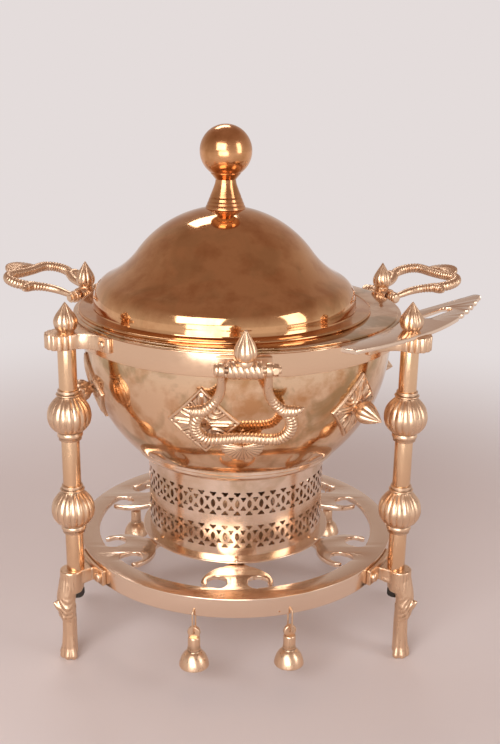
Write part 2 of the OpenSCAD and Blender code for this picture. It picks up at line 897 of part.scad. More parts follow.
module handle_bolts()
    color(CAST)
    for (i = [0 : 2])
        at_handle(i)
        translate([0, 0, pivot_z])
        rotate([90, 0, 0]) {
            reach = eye_half + eye_thick / 2 + GAP;
            translate([0, 0, -reach - 7]) cylinder(h = 2 * reach + 8, r = pin_radius);
            translate([0, 0, reach]) cylinder(h = 3.6, r1 = 5.4, r2 = 4.4);
            translate([0, 0, -reach - 4.6]) cylinder(h = 4.6, r = 9 / sqrt(3), $fn = 6);
        }

module handle_finials()
    color(CAST)
    for (i = [0 : 2])
        at_handle(i)
        translate([0, 0, pivot_z + 8]) {
            cylinder(h = 2, r = 6.8);
            translate([0, 0, 1]) bud(9.5, finial_belly - 1.5, finial_tip - 0.5, 8);
        }

// Flat pierced rest with a scalloped edge, clamped under the front right finial.
// Local X runs along the ring from the finial, local Y points in toward the dish.
module rest2d()
    difference() {
        union() {
            intersection() {
                translate([rest_reach * 0.58, 340]) circle(363.5, $fn = 720);
                polygon([[-82, 30], [-82, -40], [rest_reach, -40], [rest_reach, -17],
                         [rest_reach * 0.26, 28], [0, 50], [-40, 50]]);
            }
            circle(13);
        }
        for (k = [0 : 4]) translate([rest_reach * (0.46 + 0.11 * k), -27.5 + k * 0.5]) circle(6.6);
        translate([rest_reach * 0.34, 4])
        rotate([0, 0, -14]) {
            circle(5);
            translate([0, -5]) square([rest_reach * 0.24, 10]);
            translate([rest_reach * 0.24, 0]) circle(5);
        }
        circle(rod_radius);
    }

module ladle_rest()
    color(CAST)
    translate([0, 0, bracket_top])
    linear_extrude(rest_thick)
    difference() {
        rotate([0, 0, LEG_ANGLES[1]])
        translate([leg_circle, 0])
        rotate([0, 0, 90])
        rest2d();
        circle(band_radius + 1.6, $fn = 720);
    }

// Bells.

// Bent wire loop in the radial plane: straight top through the skirt, straight bottom in the bell's eye.
module bell_link(i)
    color(CAST)
    at_bell(i)
    translate([0, 0, bell_hole]) {
        w = skirt_thickness / 2 + 3.4;
        c = 2;
        tall = link_length;
        for (z = [0, -tall])
            translate([c - w, 0, z])
            rotate([0, 90, 0])
            cylinder(h = 2 * (w - c), r = link_wire);
        for (x = [-w, w])
            translate([x, 0, c - tall])
            cylinder(h = tall - 2 * c, r = link_wire);
        for (k = [0 : 3])
            translate([(k == 0 || k == 3 ? 1 : -1) * (w - c), 0, k < 2 ? -c : c - tall])
            rotate([90, 0, 0])
            rotate([0, 0, 90 * k])
            rotate_extrude(angle = 90)
            translate([c, 0])
            circle(link_wire);
    }

module bell_1_link() bell_link(0);
module bell_2_link() bell_link(1);
module bell_3_link() bell_link(2);
module bell_4_link() bell_link(3);
module bell_5_link() bell_link(4);
module bell_6_link() bell_link(5);

clapper_pin = bell_height - mouth + 1.2;

module bell_body(i)
    color(POLISHED)
    at_bell(i)
    translate([0, 0, bell_eye])
    difference() {
        union() {
            translate([-1.9, 0, 0]) rotate([0, 90, 0]) cylinder(h = 3.8, r = 6);
            translate([0, 0, -bell_height + mouth]) cylinder(h = bell_height - mouth - 5.2, r = bell_neck);
            difference() {
                union() {
                    translate([0, 0, 4 - bell_height]) sphere(mouth - 0.4);
                    translate([0, 0, -bell_height]) cylinder(h = 4, r1 = mouth, r2 = mouth - 0.3);
                    translate([0, 0, 4 - bell_height + mouth - 1.8]) cylinder(h = 2.6, r = bell_neck + 1);
                }
                translate([0, 0, -bell_height - 20]) cylinder(h = 20, r = 20);
                translate([0, 0, 4 - bell_height]) sphere(mouth - 1.9);
                translate([0, 0, -bell_height - 1]) cylinder(h = 5, r = mouth - 1.9);
            }
            translate([-mouth + 4.2, 0, -clapper_pin])
            rotate([0, 90, 0])
            cylinder(h = 2 * mouth - 8.4, r = 0.6);
        }
        translate([-5, 0, 0]) rotate([0, 90, 0]) cylinder(h = 10, r = link_wire + 0.35);
        difference() {
            translate([0, 0, 4 - bell_height]) sphere(mouth - 1.9);
            translate([-mouth, 0, -clapper_pin]) rotate([0, 90, 0]) cylinder(h = 2 * mouth, r = 0.6);
        }
    }

module bell_1_body() bell_body(0);
module bell_2_body() bell_body(1);
module bell_3_body() bell_body(2);
module bell_4_body() bell_body(3);
module bell_5_body() bell_body(4);
module bell_6_body() bell_body(5);

module bell_clapper(i)
    color(CAST)
    at_bell(i)
    translate([0, 0, bell_eye - clapper_pin])
    difference() {
        union() {
            translate([-1, 0, 0]) rotate([0, 90, 0]) cylinder(h = 2, r = 1.9);
            translate([0, 0, -bell_height + clapper_pin])
            cylinder(h = bell_height - clapper_pin - 1.2, r = 0.7);
            translate([0, 0, -bell_height + clapper_pin]) sphere(2.6);
        }
        translate([-3, 0, 0]) rotate([0, 90, 0]) cylinder(h = 6, r = 0.95);
    }

module bell_1_clapper() bell_clapper(0);
module bell_2_clapper() bell_clapper(1);
module bell_3_clapper() bell_clapper(2);
module bell_4_clapper() bell_clapper(3);
module bell_5_clapper() bell_clapper(4);
module bell_6_clapper() bell_clapper(5);

lid_dome();
lid_knob();
lid_knob_nut();
food_pan();
bowl();
bowl_foot_ring();
medallion_plates();
medallion_buds();
top_ring();
lower_ring();
burner_base();
base_screws();
burner_housing();
fuel_cup();
leg_1_bracket();
leg_2_bracket();
leg_3_bracket();
leg_1_tubes();
leg_2_tubes();
leg_3_tubes();
leg_1_melons();
leg_2_melons();
leg_3_melons();
leg_1_foot();
leg_2_foot();
leg_3_foot();
leg_rods();
leg_finials();
bracket_rivets();
foot_bolts();
foot_nuts();
handle_1_bracket();
handle_2_bracket();
handle_3_bracket();
handle_1_bail();
handle_2_bail();
handle_3_bail();
handle_bolts();
handle_finials();
ladle_rest();
bell_1_link();
bell_2_link();
bell_3_link();
bell_4_link();
bell_5_link();
bell_6_link();
bell_1_body();
bell_2_body();
bell_3_body();
bell_4_body();
bell_5_body();
bell_6_body();
bell_1_clapper();
bell_2_clapper();
bell_3_clapper();
bell_4_clapper();
bell_5_clapper();
bell_6_clapper();
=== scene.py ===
# %% [markdown]
# # A brass chafing dish, dressed over its CAD frame
# The dish is a stack of spun, turned, cast and cut brass pieces on a three-legged stand.
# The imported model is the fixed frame: it says where each piece is and which body carries it.
# Blender adds what a plain solid lacks: soft edges, flutes, rope ribs, relief and real finishes.

# %% Load the frame
import math

import bmesh
import bpy
import numpy as np
from mathutils import Matrix, Vector


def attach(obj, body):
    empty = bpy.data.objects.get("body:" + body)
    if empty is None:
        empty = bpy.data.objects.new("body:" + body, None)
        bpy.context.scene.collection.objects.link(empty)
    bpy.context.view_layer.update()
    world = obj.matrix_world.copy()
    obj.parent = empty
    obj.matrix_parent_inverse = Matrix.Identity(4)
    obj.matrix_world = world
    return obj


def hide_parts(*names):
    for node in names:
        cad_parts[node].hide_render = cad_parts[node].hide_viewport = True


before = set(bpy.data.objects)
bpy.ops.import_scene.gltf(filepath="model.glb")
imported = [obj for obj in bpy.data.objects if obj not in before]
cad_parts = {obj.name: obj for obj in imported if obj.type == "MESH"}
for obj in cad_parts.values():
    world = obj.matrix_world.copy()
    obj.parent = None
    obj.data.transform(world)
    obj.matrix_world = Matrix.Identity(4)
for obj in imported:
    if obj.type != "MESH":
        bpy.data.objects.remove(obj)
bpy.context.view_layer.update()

# %% [markdown]
# ## Driving sizes
# Millimetres, as in the CAD source. The top ring's band and the lower ring are given; the legs, the
# burner, the bowl and the pan's rim follow from them. Angles run round the dish from +X, so the front
# is at 270 degrees. The lid lies loose, a little to the left of the middle.

# %% Driving sizes
MM = 0.001
BAND_R, BAND_TOP, RING_TOP = 151.0, 314.0, 96.0
LEG_R, LEG_ANGLES = BAND_R + 19, (210, 330, 90)
RING_R = LEG_R - 17
BASE_PLATE, HOUSE_TALL, FOOT_GAP, FOOT_TALL = 2.4, 78.6, 0.3, 12.7
HOUSE_LOW = RING_TOP + BASE_PLATE
FOOT_LOW = HOUSE_LOW + HOUSE_TALL + FOOT_GAP
BOWL_R, BOWL_Z, BOWL_LOW, BOWL_RIM = 143.0, 290.0, FOOT_LOW + FOOT_TALL, 1.6
PAN_SHEET, LID_X = 1.4, -12.0
PAN_TOP = BAND_TOP + BOWL_RIM + PAN_SHEET
print("in mm: legs", LEG_R, "from the axis, bowl from", BOWL_LOW, "up, pan's rim at", PAN_TOP)

# %% [markdown]
# ## Camera
# The camera was found by fitting the known circles of the two rings and the three legs to the view.
# It stands about 0.95 m from the dish, 17.6 degrees above it, and is tipped by under one degree.
# The lens is worked out from a picture 744 pixels high on a 36 mm sensor.

# %% Camera
DISTANCE, LIFT, TURN, TILT = 952.2, math.radians(17.553), math.radians(-1.904), math.radians(0.882)
LOOK_AT = np.array([12.41, 0.0, 251.57])
FOCAL_PIXELS, PICTURE_HEIGHT, SENSOR = 999.2, 744, 36


def linked(name, data):
    item = bpy.data.objects.new(name, data)
    bpy.context.scene.collection.objects.link(item)
    return item


back = np.array([math.sin(TURN) * math.cos(LIFT), -math.cos(TURN) * math.cos(LIFT), math.sin(LIFT)])
right = np.array([math.cos(TURN), math.sin(TURN), 0.0])
up = np.cross(back, right)
tipped_right = math.cos(TILT) * right + math.sin(TILT) * up
tipped_up = math.cos(TILT) * up - math.sin(TILT) * right
camera = linked("camera", bpy.data.cameras.new("camera"))
camera.data.sensor_fit = "VERTICAL"
camera.data.sensor_height = SENSOR
camera.data.lens = FOCAL_PIXELS / PICTURE_HEIGHT * SENSOR
turn_matrix = Matrix([list(row) for row in np.array([tipped_right, tipped_up, back]).T]).to_4x4()
camera.matrix_world = Matrix.Translation(Vector((LOOK_AT + DISTANCE * back) * MM)) @ turn_matrix
bpy.context.scene.camera = camera
print("camera at", [round(v, 3) for v in camera.matrix_world.translation], "lens", round(camera.data.lens, 2))

# %% [markdown]
# ## Finishes
# Everything but a few nuts is brass, yet it comes from the workshop in different states.
# Spun and turned pieces were polished on the lathe, so faint rings run around their axis.
# Cut plate was buffed flat. Castings were brushed by hand to satin: their high parts are painted lighter
# as wear, their hollows darker, partly as tarnish and partly as painted shade. One function adds a node:
# its inputs are given by name or in order, and a node stands for its first output. Colours are written as
# sRGB hex, and another function turns them to linear.

# %% Nodes and colours
def add(tree, kind, inputs=(), **settings):
    node = tree.nodes.new(kind)
    for key, value in settings.items():
        setattr(node, key, value)
    pairs = inputs.items() if isinstance(inputs, dict) else enumerate(inputs)
    for key, value in pairs:
        if isinstance(value, bpy.types.Node):
            value = value.outputs[0]
        if isinstance(value, bpy.types.NodeSocket):
            tree.links.new(value, node.inputs[key])
        else:
            node.inputs[key].default_value = value
    return node


def linear(code):
    parts = [int(code[i:i + 2], 16) / 255 for i in (1, 3, 5)]
    return [p / 12.92 if p <= 0.04045 else ((p + 0.055) / 1.055) ** 2.4 for p in parts] + [1.0]


def new_metal(name, slot):
    finish = bpy.data.materials.new(name)
    finish.use_nodes = True
    finish["slot"] = slot
    tree = finish.node_tree
    sockets = tree.nodes["Principled BSDF"].inputs
    sockets["Metallic"].default_value = 1.0
    return finish, tree, sockets, add(tree, "ShaderNodeTexCoord").outputs["Object"]


print("middle grey #808080 in linear light:", [round(v, 3) for v in linear("#808080")[:3]])

# %% [markdown]
# Spun brass: copper and zinc, metallic 1. Lathe rings are a noise read along radius and height only,
# so they close around the axis. Real rings are finer; here they lie one to three millimetres apart,
# so that they show. Large soft blotches are the hand marks and the start of tarnish that make the
# reflections wander.

# %% Spun and turned brass
HAND_MARK, STAIN, WAVE, WAVE_DEEP, STAIN_COLOUR = 25, 40, 45, 0.9, "#A98F66"


def spun_brass(name, colour, dull, stain, axis_x, ring_mm, groove_mm, rough):
    finish, tree, sockets, place = new_metal(name, "polished_brass")
    centred = add(tree, "ShaderNodeMapping", {"Vector": place, "Location": (-axis_x * MM, 0, 0)})
    x, y, z = add(tree, "ShaderNodeSeparateXYZ", [centred]).outputs
    flat = add(tree, "ShaderNodeCombineXYZ", [x, y])
    radius = add(tree, "ShaderNodeVectorMath", [flat], operation="LENGTH").outputs["Value"]
    section = add(tree, "ShaderNodeCombineXYZ", {"X": radius, "Z": z})
    rings = add(tree, "ShaderNodeTexNoise", {"Vector": section, "Scale": 1000 / ring_mm, "Detail": 2.0})
    # Hand marks and tarnish come in patches.
    patches = add(tree, "ShaderNodeTexNoise",
                  {"Vector": place, "Scale": 1000 / HAND_MARK, "Detail": 4.0, "Roughness": 0.6})
    tint = add(tree, "ShaderNodeValToRGB", [patches])
    for element, position, code in zip(tint.color_ramp.elements, (0.34, 0.56), (dull, colour)):
        element.position = position
        element.color = linear(code)
    # Where wiping has left stains, the brass is a little greener and duller.
    stains = add(tree, "ShaderNodeTexNoise", {"Vector": place, "Scale": 1000 / STAIN, "Detail": 4.0,
                                              "Roughness": 0.55, "Distortion": 0.6})
    wiped = add(tree, "ShaderNodeMapRange", [stains, 0.5, 0.62, 0.0, stain])
    stained = add(tree, "ShaderNodeMix", {0: wiped, 6: tint, 7: linear(STAIN_COLOUR)}, data_type="RGBA")
    tree.links.new(stained.outputs[2], sockets["Base Color"])
    marks = add(tree, "ShaderNodeMath", [rings, patches], operation="ADD")
    gloss = add(tree, "ShaderNodeMapRange", [marks, 0.7, 1.4, *rough])
    tree.links.new(gloss.outputs[0], sockets["Roughness"])
    # The spun sheet is never quite true: long waves lie under the fine rings.
    swell = add(tree, "ShaderNodeTexNoise", {"Vector": place, "Scale": 1000 / WAVE, "Detail": 1.0})
    untrue = add(tree, "ShaderNodeBump", {"Height": swell, "Distance": WAVE_DEEP * MM, "Strength": 1.0})
    grooved = add(tree, "ShaderNodeBump",
                  {"Height": rings, "Distance": groove_mm * MM, "Strength": 0.5, "Normal": untrue})
    tree.links.new(grooved.outputs[0], sockets["Normal"])
    return finish


# The lid mirrors the room, and the bowl too, but with more stains from hot water.
lid_brass = spun_brass("spun polished brass of the lid", "#E2AE7E", "#CC9466", 0.25, LID_X,
                       1.6, 0.006, (0.05, 0.13))
bowl_brass = spun_brass("spun polished brass of the bowl", "#EECAA6", "#D09E70", 0.7, 0,
                        2.0, 0.010, (0.06, 0.15))
# The knob keeps the tool's rings and a softer shine, and the drum is pale rolled sheet.
knob_brass = spun_brass("turned brass of the knob", "#E0A676", "#C08858", 0.2, LID_X,
                        1.1, 0.04, (0.12, 0.26))
drum_brass = spun_brass("rolled brass sheet of the drum", "#F1D8C2", "#E2C4A8", 0.35, 0,
                        3.0, 0.014, (0.14, 0.26))
print("spun finishes:", *[f.name for f in (lid_brass, bowl_brass, knob_brass, drum_brass)], sep=" | ")

# %% [markdown]
# Cut plate and castings share one recipe. A grit breaks the gloss, a noise that brushing has drawn out
# along one axis gives the satin grain, and both are coarser than real ones so that they show.
# Pointiness tells edges from hollows: edges are painted lighter as rubbed wear, and hollows a darker
# brown that is partly tarnish and partly painted shade.

# %% Cast and cut brass, steel
CLOUD, EVEN, BRUSHED = 18, (1, 1, 1), (1, 1, 0.12)


def worked_metal(name, slot, colour, hollow, rough, grit_mm, grain_mm, bump_mm, stretch=BRUSHED):
    finish, tree, sockets, place = new_metal(name, slot)
    drawn = add(tree, "ShaderNodeMapping", {"Vector": place, "Scale": stretch})
    grit, grain, cloud = [
        add(tree, "ShaderNodeTexNoise", {"Vector": where, "Scale": 1000 / size, "Detail": 3.0})
        for where, size in ((place, grit_mm), (drawn, grain_mm), (place, CLOUD))
    ]
    # Pointiness paints the colour: edges lighter as wear, hollows darker as tarnish and as painted shade.
    pointed = add(tree, "ShaderNodeNewGeometry").outputs["Pointiness"]
    wear_and_hollow_shade = add(tree, "ShaderNodeMapRange", [pointed, 0.44, 0.53, 0.0, 1.0])
    mixed = add(tree, "ShaderNodeMath", [cloud, 0.5, wear_and_hollow_shade], operation="MULTIPLY_ADD")
    tint = add(tree, "ShaderNodeValToRGB", [mixed])
    for element, position, code in zip(tint.color_ramp.elements, (0.25, 0.8), (hollow, colour)):
        element.position = position
        element.color = linear(code)
    tree.links.new(tint.outputs[0], sockets["Base Color"])
    gloss = add(tree, "ShaderNodeMapRange", [grain, 0.3, 0.7, *rough])
    tree.links.new(gloss.outputs[0], sockets["Roughness"])
    texture = add(tree, "ShaderNodeMath", [grit, grain], operation="ADD")
    uneven = add(tree, "ShaderNodeBump", {"Height": texture, "Distance": bump_mm * MM, "Strength": 0.5})
    tree.links.new(uneven.outputs[0], sockets["Normal"])
    return finish


# Castings are satin, with brown hollows that are partly tarnish and partly painted shade. Plate and
# band have a broad soft shine.
cast_brass = worked_metal("satin cast brass", "cast_brass", "#E6C4A4", "#62432C", (0.25, 0.4), 0.8, 1.6, 0.03)
plate_brass = worked_metal("buffed cut brass plate", "polished_brass", "#F0D6BE", "#D8B492", (0.14, 0.22),
                           3.0, 6.0, 0.008, EVEN)
band_brass = worked_metal("rolled brass band", "polished_brass", "#E9C3A2", "#D0A27C", (0.14, 0.22),
                          3.0, 6.0, 0.008, EVEN)
# Tube shows faint lines from the drawing die, and oiled steel only a dull dark sheen.
tube_brass = worked_metal("drawn brass tube", "cast_brass", "#E9C29C", "#C89C74", (0.16, 0.28),
                          0.8, 1.2, 0.02)
dark_steel = worked_metal("oiled dark steel", "dark_steel", "#4B4844", "#24211F", (0.38, 0.6), 0.5, 1.0, 0.05)
worked = (cast_brass, plate_brass, band_brass, tube_brass, dark_steel)
print("worked finishes:", *[finish.name for finish in worked], sep=" | ")

# %% [markdown]
# ## Mesh helpers
# Most pieces begin as an outline in millimetres. `arc` gives its round stretches, `soften` rounds the
# corners that carry a size, and `through` runs a smooth line through points.

# %% Outlines
def arc(cx, cy, radius, start, stop, steps):
    a = np.radians(np.linspace(start, stop, steps))
    return [(cx + radius * math.cos(t), cy + radius * math.sin(t)) for t in a]


def polar(radius, angle):
    return radius * math.cos(math.radians(angle)), radius * math.sin(math.radians(angle))


def soften(corners, steps=4, closed=True):
    out = []
    count = len(corners)
    for i, corner in enumerate(corners):
        here = np.array(corner[:2], float)
        size = corner[2] if len(corner) > 2 else 0
        if not size or (not closed and i in (0, count - 1)):
            out.append(tuple(here))
            continue
        before = np.array(corners[i - 1][:2], float) - here
        after = np.array(corners[(i + 1) % count][:2], float) - here
        # A rounding never takes more than its half of a side.
        cut = min(size, 0.48 * np.linalg.norm(before), 0.48 * np.linalg.norm(after))
        a = here + before / np.linalg.norm(before) * cut
        b = here + after / np.linalg.norm(after) * cut
        for t in np.linspace(0, 1, steps + 1):
            out.append(tuple((1 - t) ** 2 * a + 2 * t * (1 - t) * here + t * t * b))
    return out


def through(knots, step=0.3):
    knots = np.array(knots, float)
    padded = np.vstack([2 * knots[0] - knots[1], knots, 2 * knots[-1] - knots[-2]])
    out = []
    for i in range(1, len(padded) - 2):
        p0, p1, p2, p3 = padded[i - 1:i + 3]
        square = 2 * p0 - 5 * p1 + 4 * p2 - p3
        cube = 3 * p1 - p0 - 3 * p2 + p3
        count = max(2, int(np.linalg.norm((p2 - p1)[:3]) / step))
        for t in np.linspace(0, 1, count, endpoint=False):
            out.append(0.5 * (2 * p1 + (p2 - p0) * t + square * t ** 2 + cube * t ** 3))
    return np.array(out + [padded[-2]])


print("a quarter of a circle in four points:", np.round(arc(0, 0, 1, 0, 90, 4), 2).tolist())

# %% [markdown]
# A shape is a list of points and a list of faces. `skin` joins rows of points, and `lathe` turns a
# profile about the axis, as the real spun and turned pieces were made. `settle` welds the seam, turns
# all faces outward and gives the piece its finish, its CAD body and the nodes that it replaces.

# %% Turned shapes and pieces
WELD = 0.004


def skin(rows, wrap=True):
    rows = np.array(rows)
    n, m = rows.shape[:2]
    faces = []
    for i in range(n - 1):
        for j in range(m if wrap else m - 1):
            k = (j + 1) % m
            faces.append((i * m + j, i * m + k, (i + 1) * m + k, (i + 1) * m + j))
    return rows.reshape(-1, 3), faces


def full_turn(steps):
    return np.linspace(0, 2 * math.pi, steps, endpoint=False)


def lathe(corners, steps, closed=False):
    line = np.array(soften(corners, closed=closed), float)
    if closed:
        line = np.vstack([line, line[:1]])
    a = full_turn(steps)
    return skin(np.stack([line[:, :1] * np.cos(a), line[:, :1] * np.sin(a), line[:, 1:] + 0 * a], -1))


def moved(shape, *offset):
    return np.asarray(shape[0], float) + offset, shape[1]


def mesh_of(shape, name="mesh"):
    mesh = bpy.data.meshes.new(name)
    mesh.from_pydata((np.asarray(shape[0]) * MM).tolist(), [], shape[1])
    return mesh


def cleaned(mesh):
    bm = bmesh.new()
    bm.from_mesh(mesh)
    bmesh.ops.remove_doubles(bm, verts=bm.verts, dist=WELD * MM)
    bmesh.ops.recalc_face_normals(bm, faces=bm.faces)
    bm.to_mesh(mesh)
    bm.free()
    return mesh


def settle(name, shape, finish, body, *nodes, sharp=38):
    mesh = cleaned(shape if isinstance(shape, bpy.types.Mesh) else mesh_of(shape))
    mesh.name = name
    mesh.shade_smooth()
    mesh.set_sharp_from_angle(angle=math.radians(sharp))
    mesh.materials.clear()
    mesh.materials.append(finish)
    piece = linked(name, mesh)
    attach(piece, body)
    if nodes:
        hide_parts(*nodes)
    print(f"{name}: {len(mesh.polygons)} faces on {body}")
    return piece


print("points closer than", WELD, "mm are welded")

# %% [markdown]
# ## Lid and knob
# The lid is one spun sheet: a crown, a hollow flare, a rounded shoulder, an upright band and a flat
# rim whose edge is rolled. Three arcs that touch each other give the ogee. The knob is turned solid:
# a grooved cone, a collar, a ball.

# %% Lid and knob
CROWN, SHOULDER, FLARE, LID_RISE = 100.3, 21.5, 80.0, 92.0
LID_BAND, LID_BAND_TALL, LID_RIM, SHEET = 121.5, 8.0, 135.0, 1.6
crown_at = np.array([0.0, LID_RISE - CROWN])
shoulder_at = np.array([LID_BAND - SHOULDER, LID_BAND_TALL])


def flare_centre():
    d = np.linalg.norm(shoulder_at - crown_at)
    p, q = CROWN + FLARE, SHOULDER + FLARE
    s = (p * p - q * q + d * d) / (2 * d)
    u = (shoulder_at - crown_at) / d
    return crown_at + s * u + math.sqrt(p * p - s * s) * np.array([-u[1], u[0]])


def ogee(inset):
    flare_at = flare_centre()
    one = math.degrees(math.atan2(*(flare_at - crown_at)[::-1]))
    two = math.degrees(math.atan2(*(flare_at - shoulder_at)[::-1]))
    line = arc(*crown_at, CROWN - inset, 90, one, 40)
    line += arc(*flare_at, FLARE + inset, one + 180, two + 180, 16)[1:]
    return line + arc(*shoulder_at, SHOULDER - inset, two, 0, 14)[1:]


outside = ogee(0) + [(LID_BAND, 3.2), (LID_BAND + 0.4, 2.1), (LID_BAND + 1.6, 1.7), (LID_RIM - 2.0, SHEET)]
outside += arc(LID_RIM - 1.3, 1.0, 1.3, 110, -90, 8)
inside = [(LID_RIM - 3.2, 0.0), (LID_BAND + 0.5, 0.0), (LID_BAND - 1.0, 0.3), (LID_BAND - SHEET, 1.6)]
inside += ogee(SHEET)[:0:-1] + [(0, LID_RISE - SHEET)]
lid = lathe(outside + inside, 192, closed=True)
settle("lid_shell", moved(lid, LID_X, 0, PAN_TOP), lid_brass, "lid", "lid_dome")

BALL, BALL_Z, GROOVES, GROOVE_DEEP, KNOB_SINK = 23.5, 51.0, (3.4, 6.4, 10.0), 0.4, 2.0
cone = through([(18.3, 0.8), (16.4, 5.2), (13.9, 11.5), (11.5, 17.5), (9.9, 22.0), (9.2, 26.0)], 0.4)
knob = [(0, -7.6), (3.0, -7.6), (3.0, 1.5), (10.0, 1.1), (17.8, 0.1), (18.3, 0.4)]
knob += [(r - (GROOVE_DEEP if min(abs(z - g) for g in GROOVES) < 0.35 else 0), z) for r, z in cone]
knob += [(9.9, 26.7), (11.6, 28.9), (13.1, 30.6), (13.5, 31.2), (13.2, 31.7)]
knob += arc(0, BALL_Z, BALL, -54.5, 90, 56)[:-1] + [(0, BALL_Z + BALL)]
knob = moved(lathe(knob, 96), LID_X, 0, PAN_TOP + LID_RISE - KNOB_SINK)
settle("turned_knob", knob, knob_brass, "lid", "lid_knob")

# %% [markdown]
# ## Food pan, water bowl and foot ring
# The pan's wide rim closes the gap between the lid and the stand. The bowl is a deep spun
# hemisphere with a short neck and a turned-out rim that lies on the top ring. All three are lathe
# work, so each is a closed profile, turned once. Rims get a rolled edge because a cut sheet edge
# would never catch such a soft light.

# %% Pan, bowl and foot ring
PAN_R, PAN_DEPTH, PAN_CORNER, PAN_RIM = 117.0, 58.0, 16, 147.4
low, under = PAN_TOP - PAN_DEPTH, PAN_TOP - PAN_SHEET
outer = [(0, low)] + arc(PAN_R - PAN_CORNER, low + PAN_CORNER, PAN_CORNER, -90, 0, 12)
outer += [(PAN_R, PAN_TOP - 3.2), (PAN_R + 0.6, PAN_TOP - 1.9), (PAN_R + 2, under), (PAN_RIM - 1, under)]
inner = arc(PAN_RIM, PAN_TOP - 0.75, 0.75, -60, 90, 6) + [(PAN_R + 2, PAN_TOP), (PAN_R - 0.4, PAN_TOP - 0.9)]
inner += [(PAN_R - PAN_SHEET, PAN_TOP - 3.2)]
inner += arc(PAN_R - PAN_CORNER, low + PAN_CORNER, PAN_CORNER - PAN_SHEET, 0, -90, 12)
inner += [(0, low + PAN_SHEET)]
settle("spun_pan", lathe(outer + inner, 160, closed=True), bowl_brass, "pan", "food_pan")

BOWL_WALL, BOWL_END, BOWL_REACH = 2.0, -42.9, 150.6
bowl_in = BOWL_R - BOWL_WALL
outer = [(0, 0), (96.0, 0), (97.4, 0.2), (101.0, 1.3), (103.8, 2.2)]
outer = [(r, BOWL_LOW + z) for r, z in outer] + arc(0, BOWL_Z, BOWL_R, BOWL_END, 0, 64) + [(BOWL_R, BAND_TOP)]
outer += arc(BOWL_REACH, BAND_TOP + BOWL_RIM / 2, BOWL_RIM / 2, -90, 90, 7)
inner = [(BOWL_R, BAND_TOP + BOWL_RIM), (bowl_in + 0.4, BAND_TOP + 1.4), (bowl_in, BAND_TOP)]
inner += arc(0, BOWL_Z, bowl_in, 0, BOWL_END, 48) + [(97, BOWL_LOW + BOWL_WALL), (0, BOWL_LOW + BOWL_WALL)]
settle("spun_bowl", lathe(outer + inner, 192, closed=True), bowl_brass, "stand", "bowl")

foot_ring = lathe([(80.5, 0), (88.5, 0, 0.5), (95.0, 4.1, 0.8), (96.5, 5.6, 0.8), (96.5, 8.2), (96.1, 8.5),
                   (96.5, 8.8), (96.5, FOOT_TALL, 0.4), (80.5, FOOT_TALL)], 160, closed=True)
settle("turned_foot_ring", moved(foot_ring, 0, 0, FOOT_LOW), drum_brass, "stand", "bowl_foot_ring")

# %% [markdown]
# A row of fine beads runs around the bowl just above its foot. Beads repeat by a rule, so Geometry
# Nodes make them: a circle of points, one small ball on each, then Realize Instances, because the
# export drops instances. `run_tree` sets the named inputs by socket identifier, and `result_of` turns
# what a modifier or a curve shows into a plain mesh.

# %% Geometry Nodes helpers and the bead row
def new_tree(name, *sockets):
    tree = bpy.data.node_groups.new(name, "GeometryNodeTree")
    tree.interface.new_socket("Geometry", in_out="INPUT", socket_type="NodeSocketGeometry")
    for label, kind in sockets:
        tree.interface.new_socket(label, in_out="INPUT", socket_type="NodeSocket" + kind)
    tree.interface.new_socket("Geometry", in_out="OUTPUT", socket_type="NodeSocketGeometry")
    return tree, add(tree, "NodeGroupInput").outputs


def close_tree(tree, geometry, finish):
    real = add(tree, "GeometryNodeRealizeInstances", [geometry])
    dressed = add(tree, "GeometryNodeSetMaterial", {"Geometry": real, "Material": finish})
    add(tree, "NodeGroupOutput", [dressed])


def result_of(carrier):
    mesh = bpy.data.meshes.new_from_object(carrier.evaluated_get(bpy.context.evaluated_depsgraph_get()))
    carrier.modifiers.clear()
    bpy.data.objects.remove(carrier)
    return mesh


def run_tree(tree, base, **values):
    carrier = linked("carrier", base)
    modifier = carrier.modifiers.new(tree.name, "NODES")
    modifier.node_group = tree
    for item in tree.interface.items_tree:
        if item.in_out == "INPUT" and item.name.lower() in values:
            modifier[item.identifier] = values[item.name.lower()]
    return result_of(carrier)


BEADS, BEAD_R, BEAD_RING, BEAD_RISE = 190, 1.15, 100.5, 1.0
bead_tree, given = new_tree("bead row", ("Count", "Int"), ("Radius", "Float"), ("Height", "Float"),
                            ("Bead", "Float"), ("Finish", "Material"))
circle = add(bead_tree, "GeometryNodeMeshCircle", {"Vertices": given["Count"], "Radius": given["Radius"]})
lift = add(bead_tree, "ShaderNodeCombineXYZ", {"Z": given["Height"]})
raised = add(bead_tree, "GeometryNodeTransform", {"Geometry": circle, "Translation": lift})
ball = add(bead_tree, "GeometryNodeMeshIcoSphere", {"Radius": given["Bead"], "Subdivisions": 2})
row = add(bead_tree, "GeometryNodeInstanceOnPoints", {"Points": raised, "Instance": ball})
close_tree(bead_tree, row, given["Finish"])
beads = run_tree(bead_tree, bpy.data.meshes.new("none"), count=BEADS, radius=BEAD_RING * MM,
                 height=(BOWL_LOW + BEAD_RISE) * MM, bead=BEAD_R * MM, finish=bowl_brass)
settle("bowl_bead_row", beads, bowl_brass, "stand", sharp=80)

# %% [markdown]
# ## Rings of the stand
# The top ring is a plain band. The lower ring is sawn from plate: its inner edge runs out into six
# anchor-shaped ornaments whose tips carry the burner. A flat filled curve with a small bevel makes
# such a sawn plate well, because the bevel follows every curl. The skirt under it is bored for the
# bells, and a Boolean cuts those holes and one spare hole beside them. `placed` sets a shape at an
# angle and a distance from the axis, and `ring_of` repeats it around the dish.

# %% Top ring
BAND_WALL, BAND_TALL = 2.8, 20.0
band_in, band_low = BAND_R - BAND_WALL, BAND_TOP - BAND_TALL
band = [(band_in, band_low, 0.5), (BAND_R, band_low, 0.7), (BAND_R, BAND_TOP, 0.7), (band_in, BAND_TOP, 0.5)]
settle("band_of_the_top_ring", lathe(band, 192, closed=True), band_brass, "stand", "top_ring")


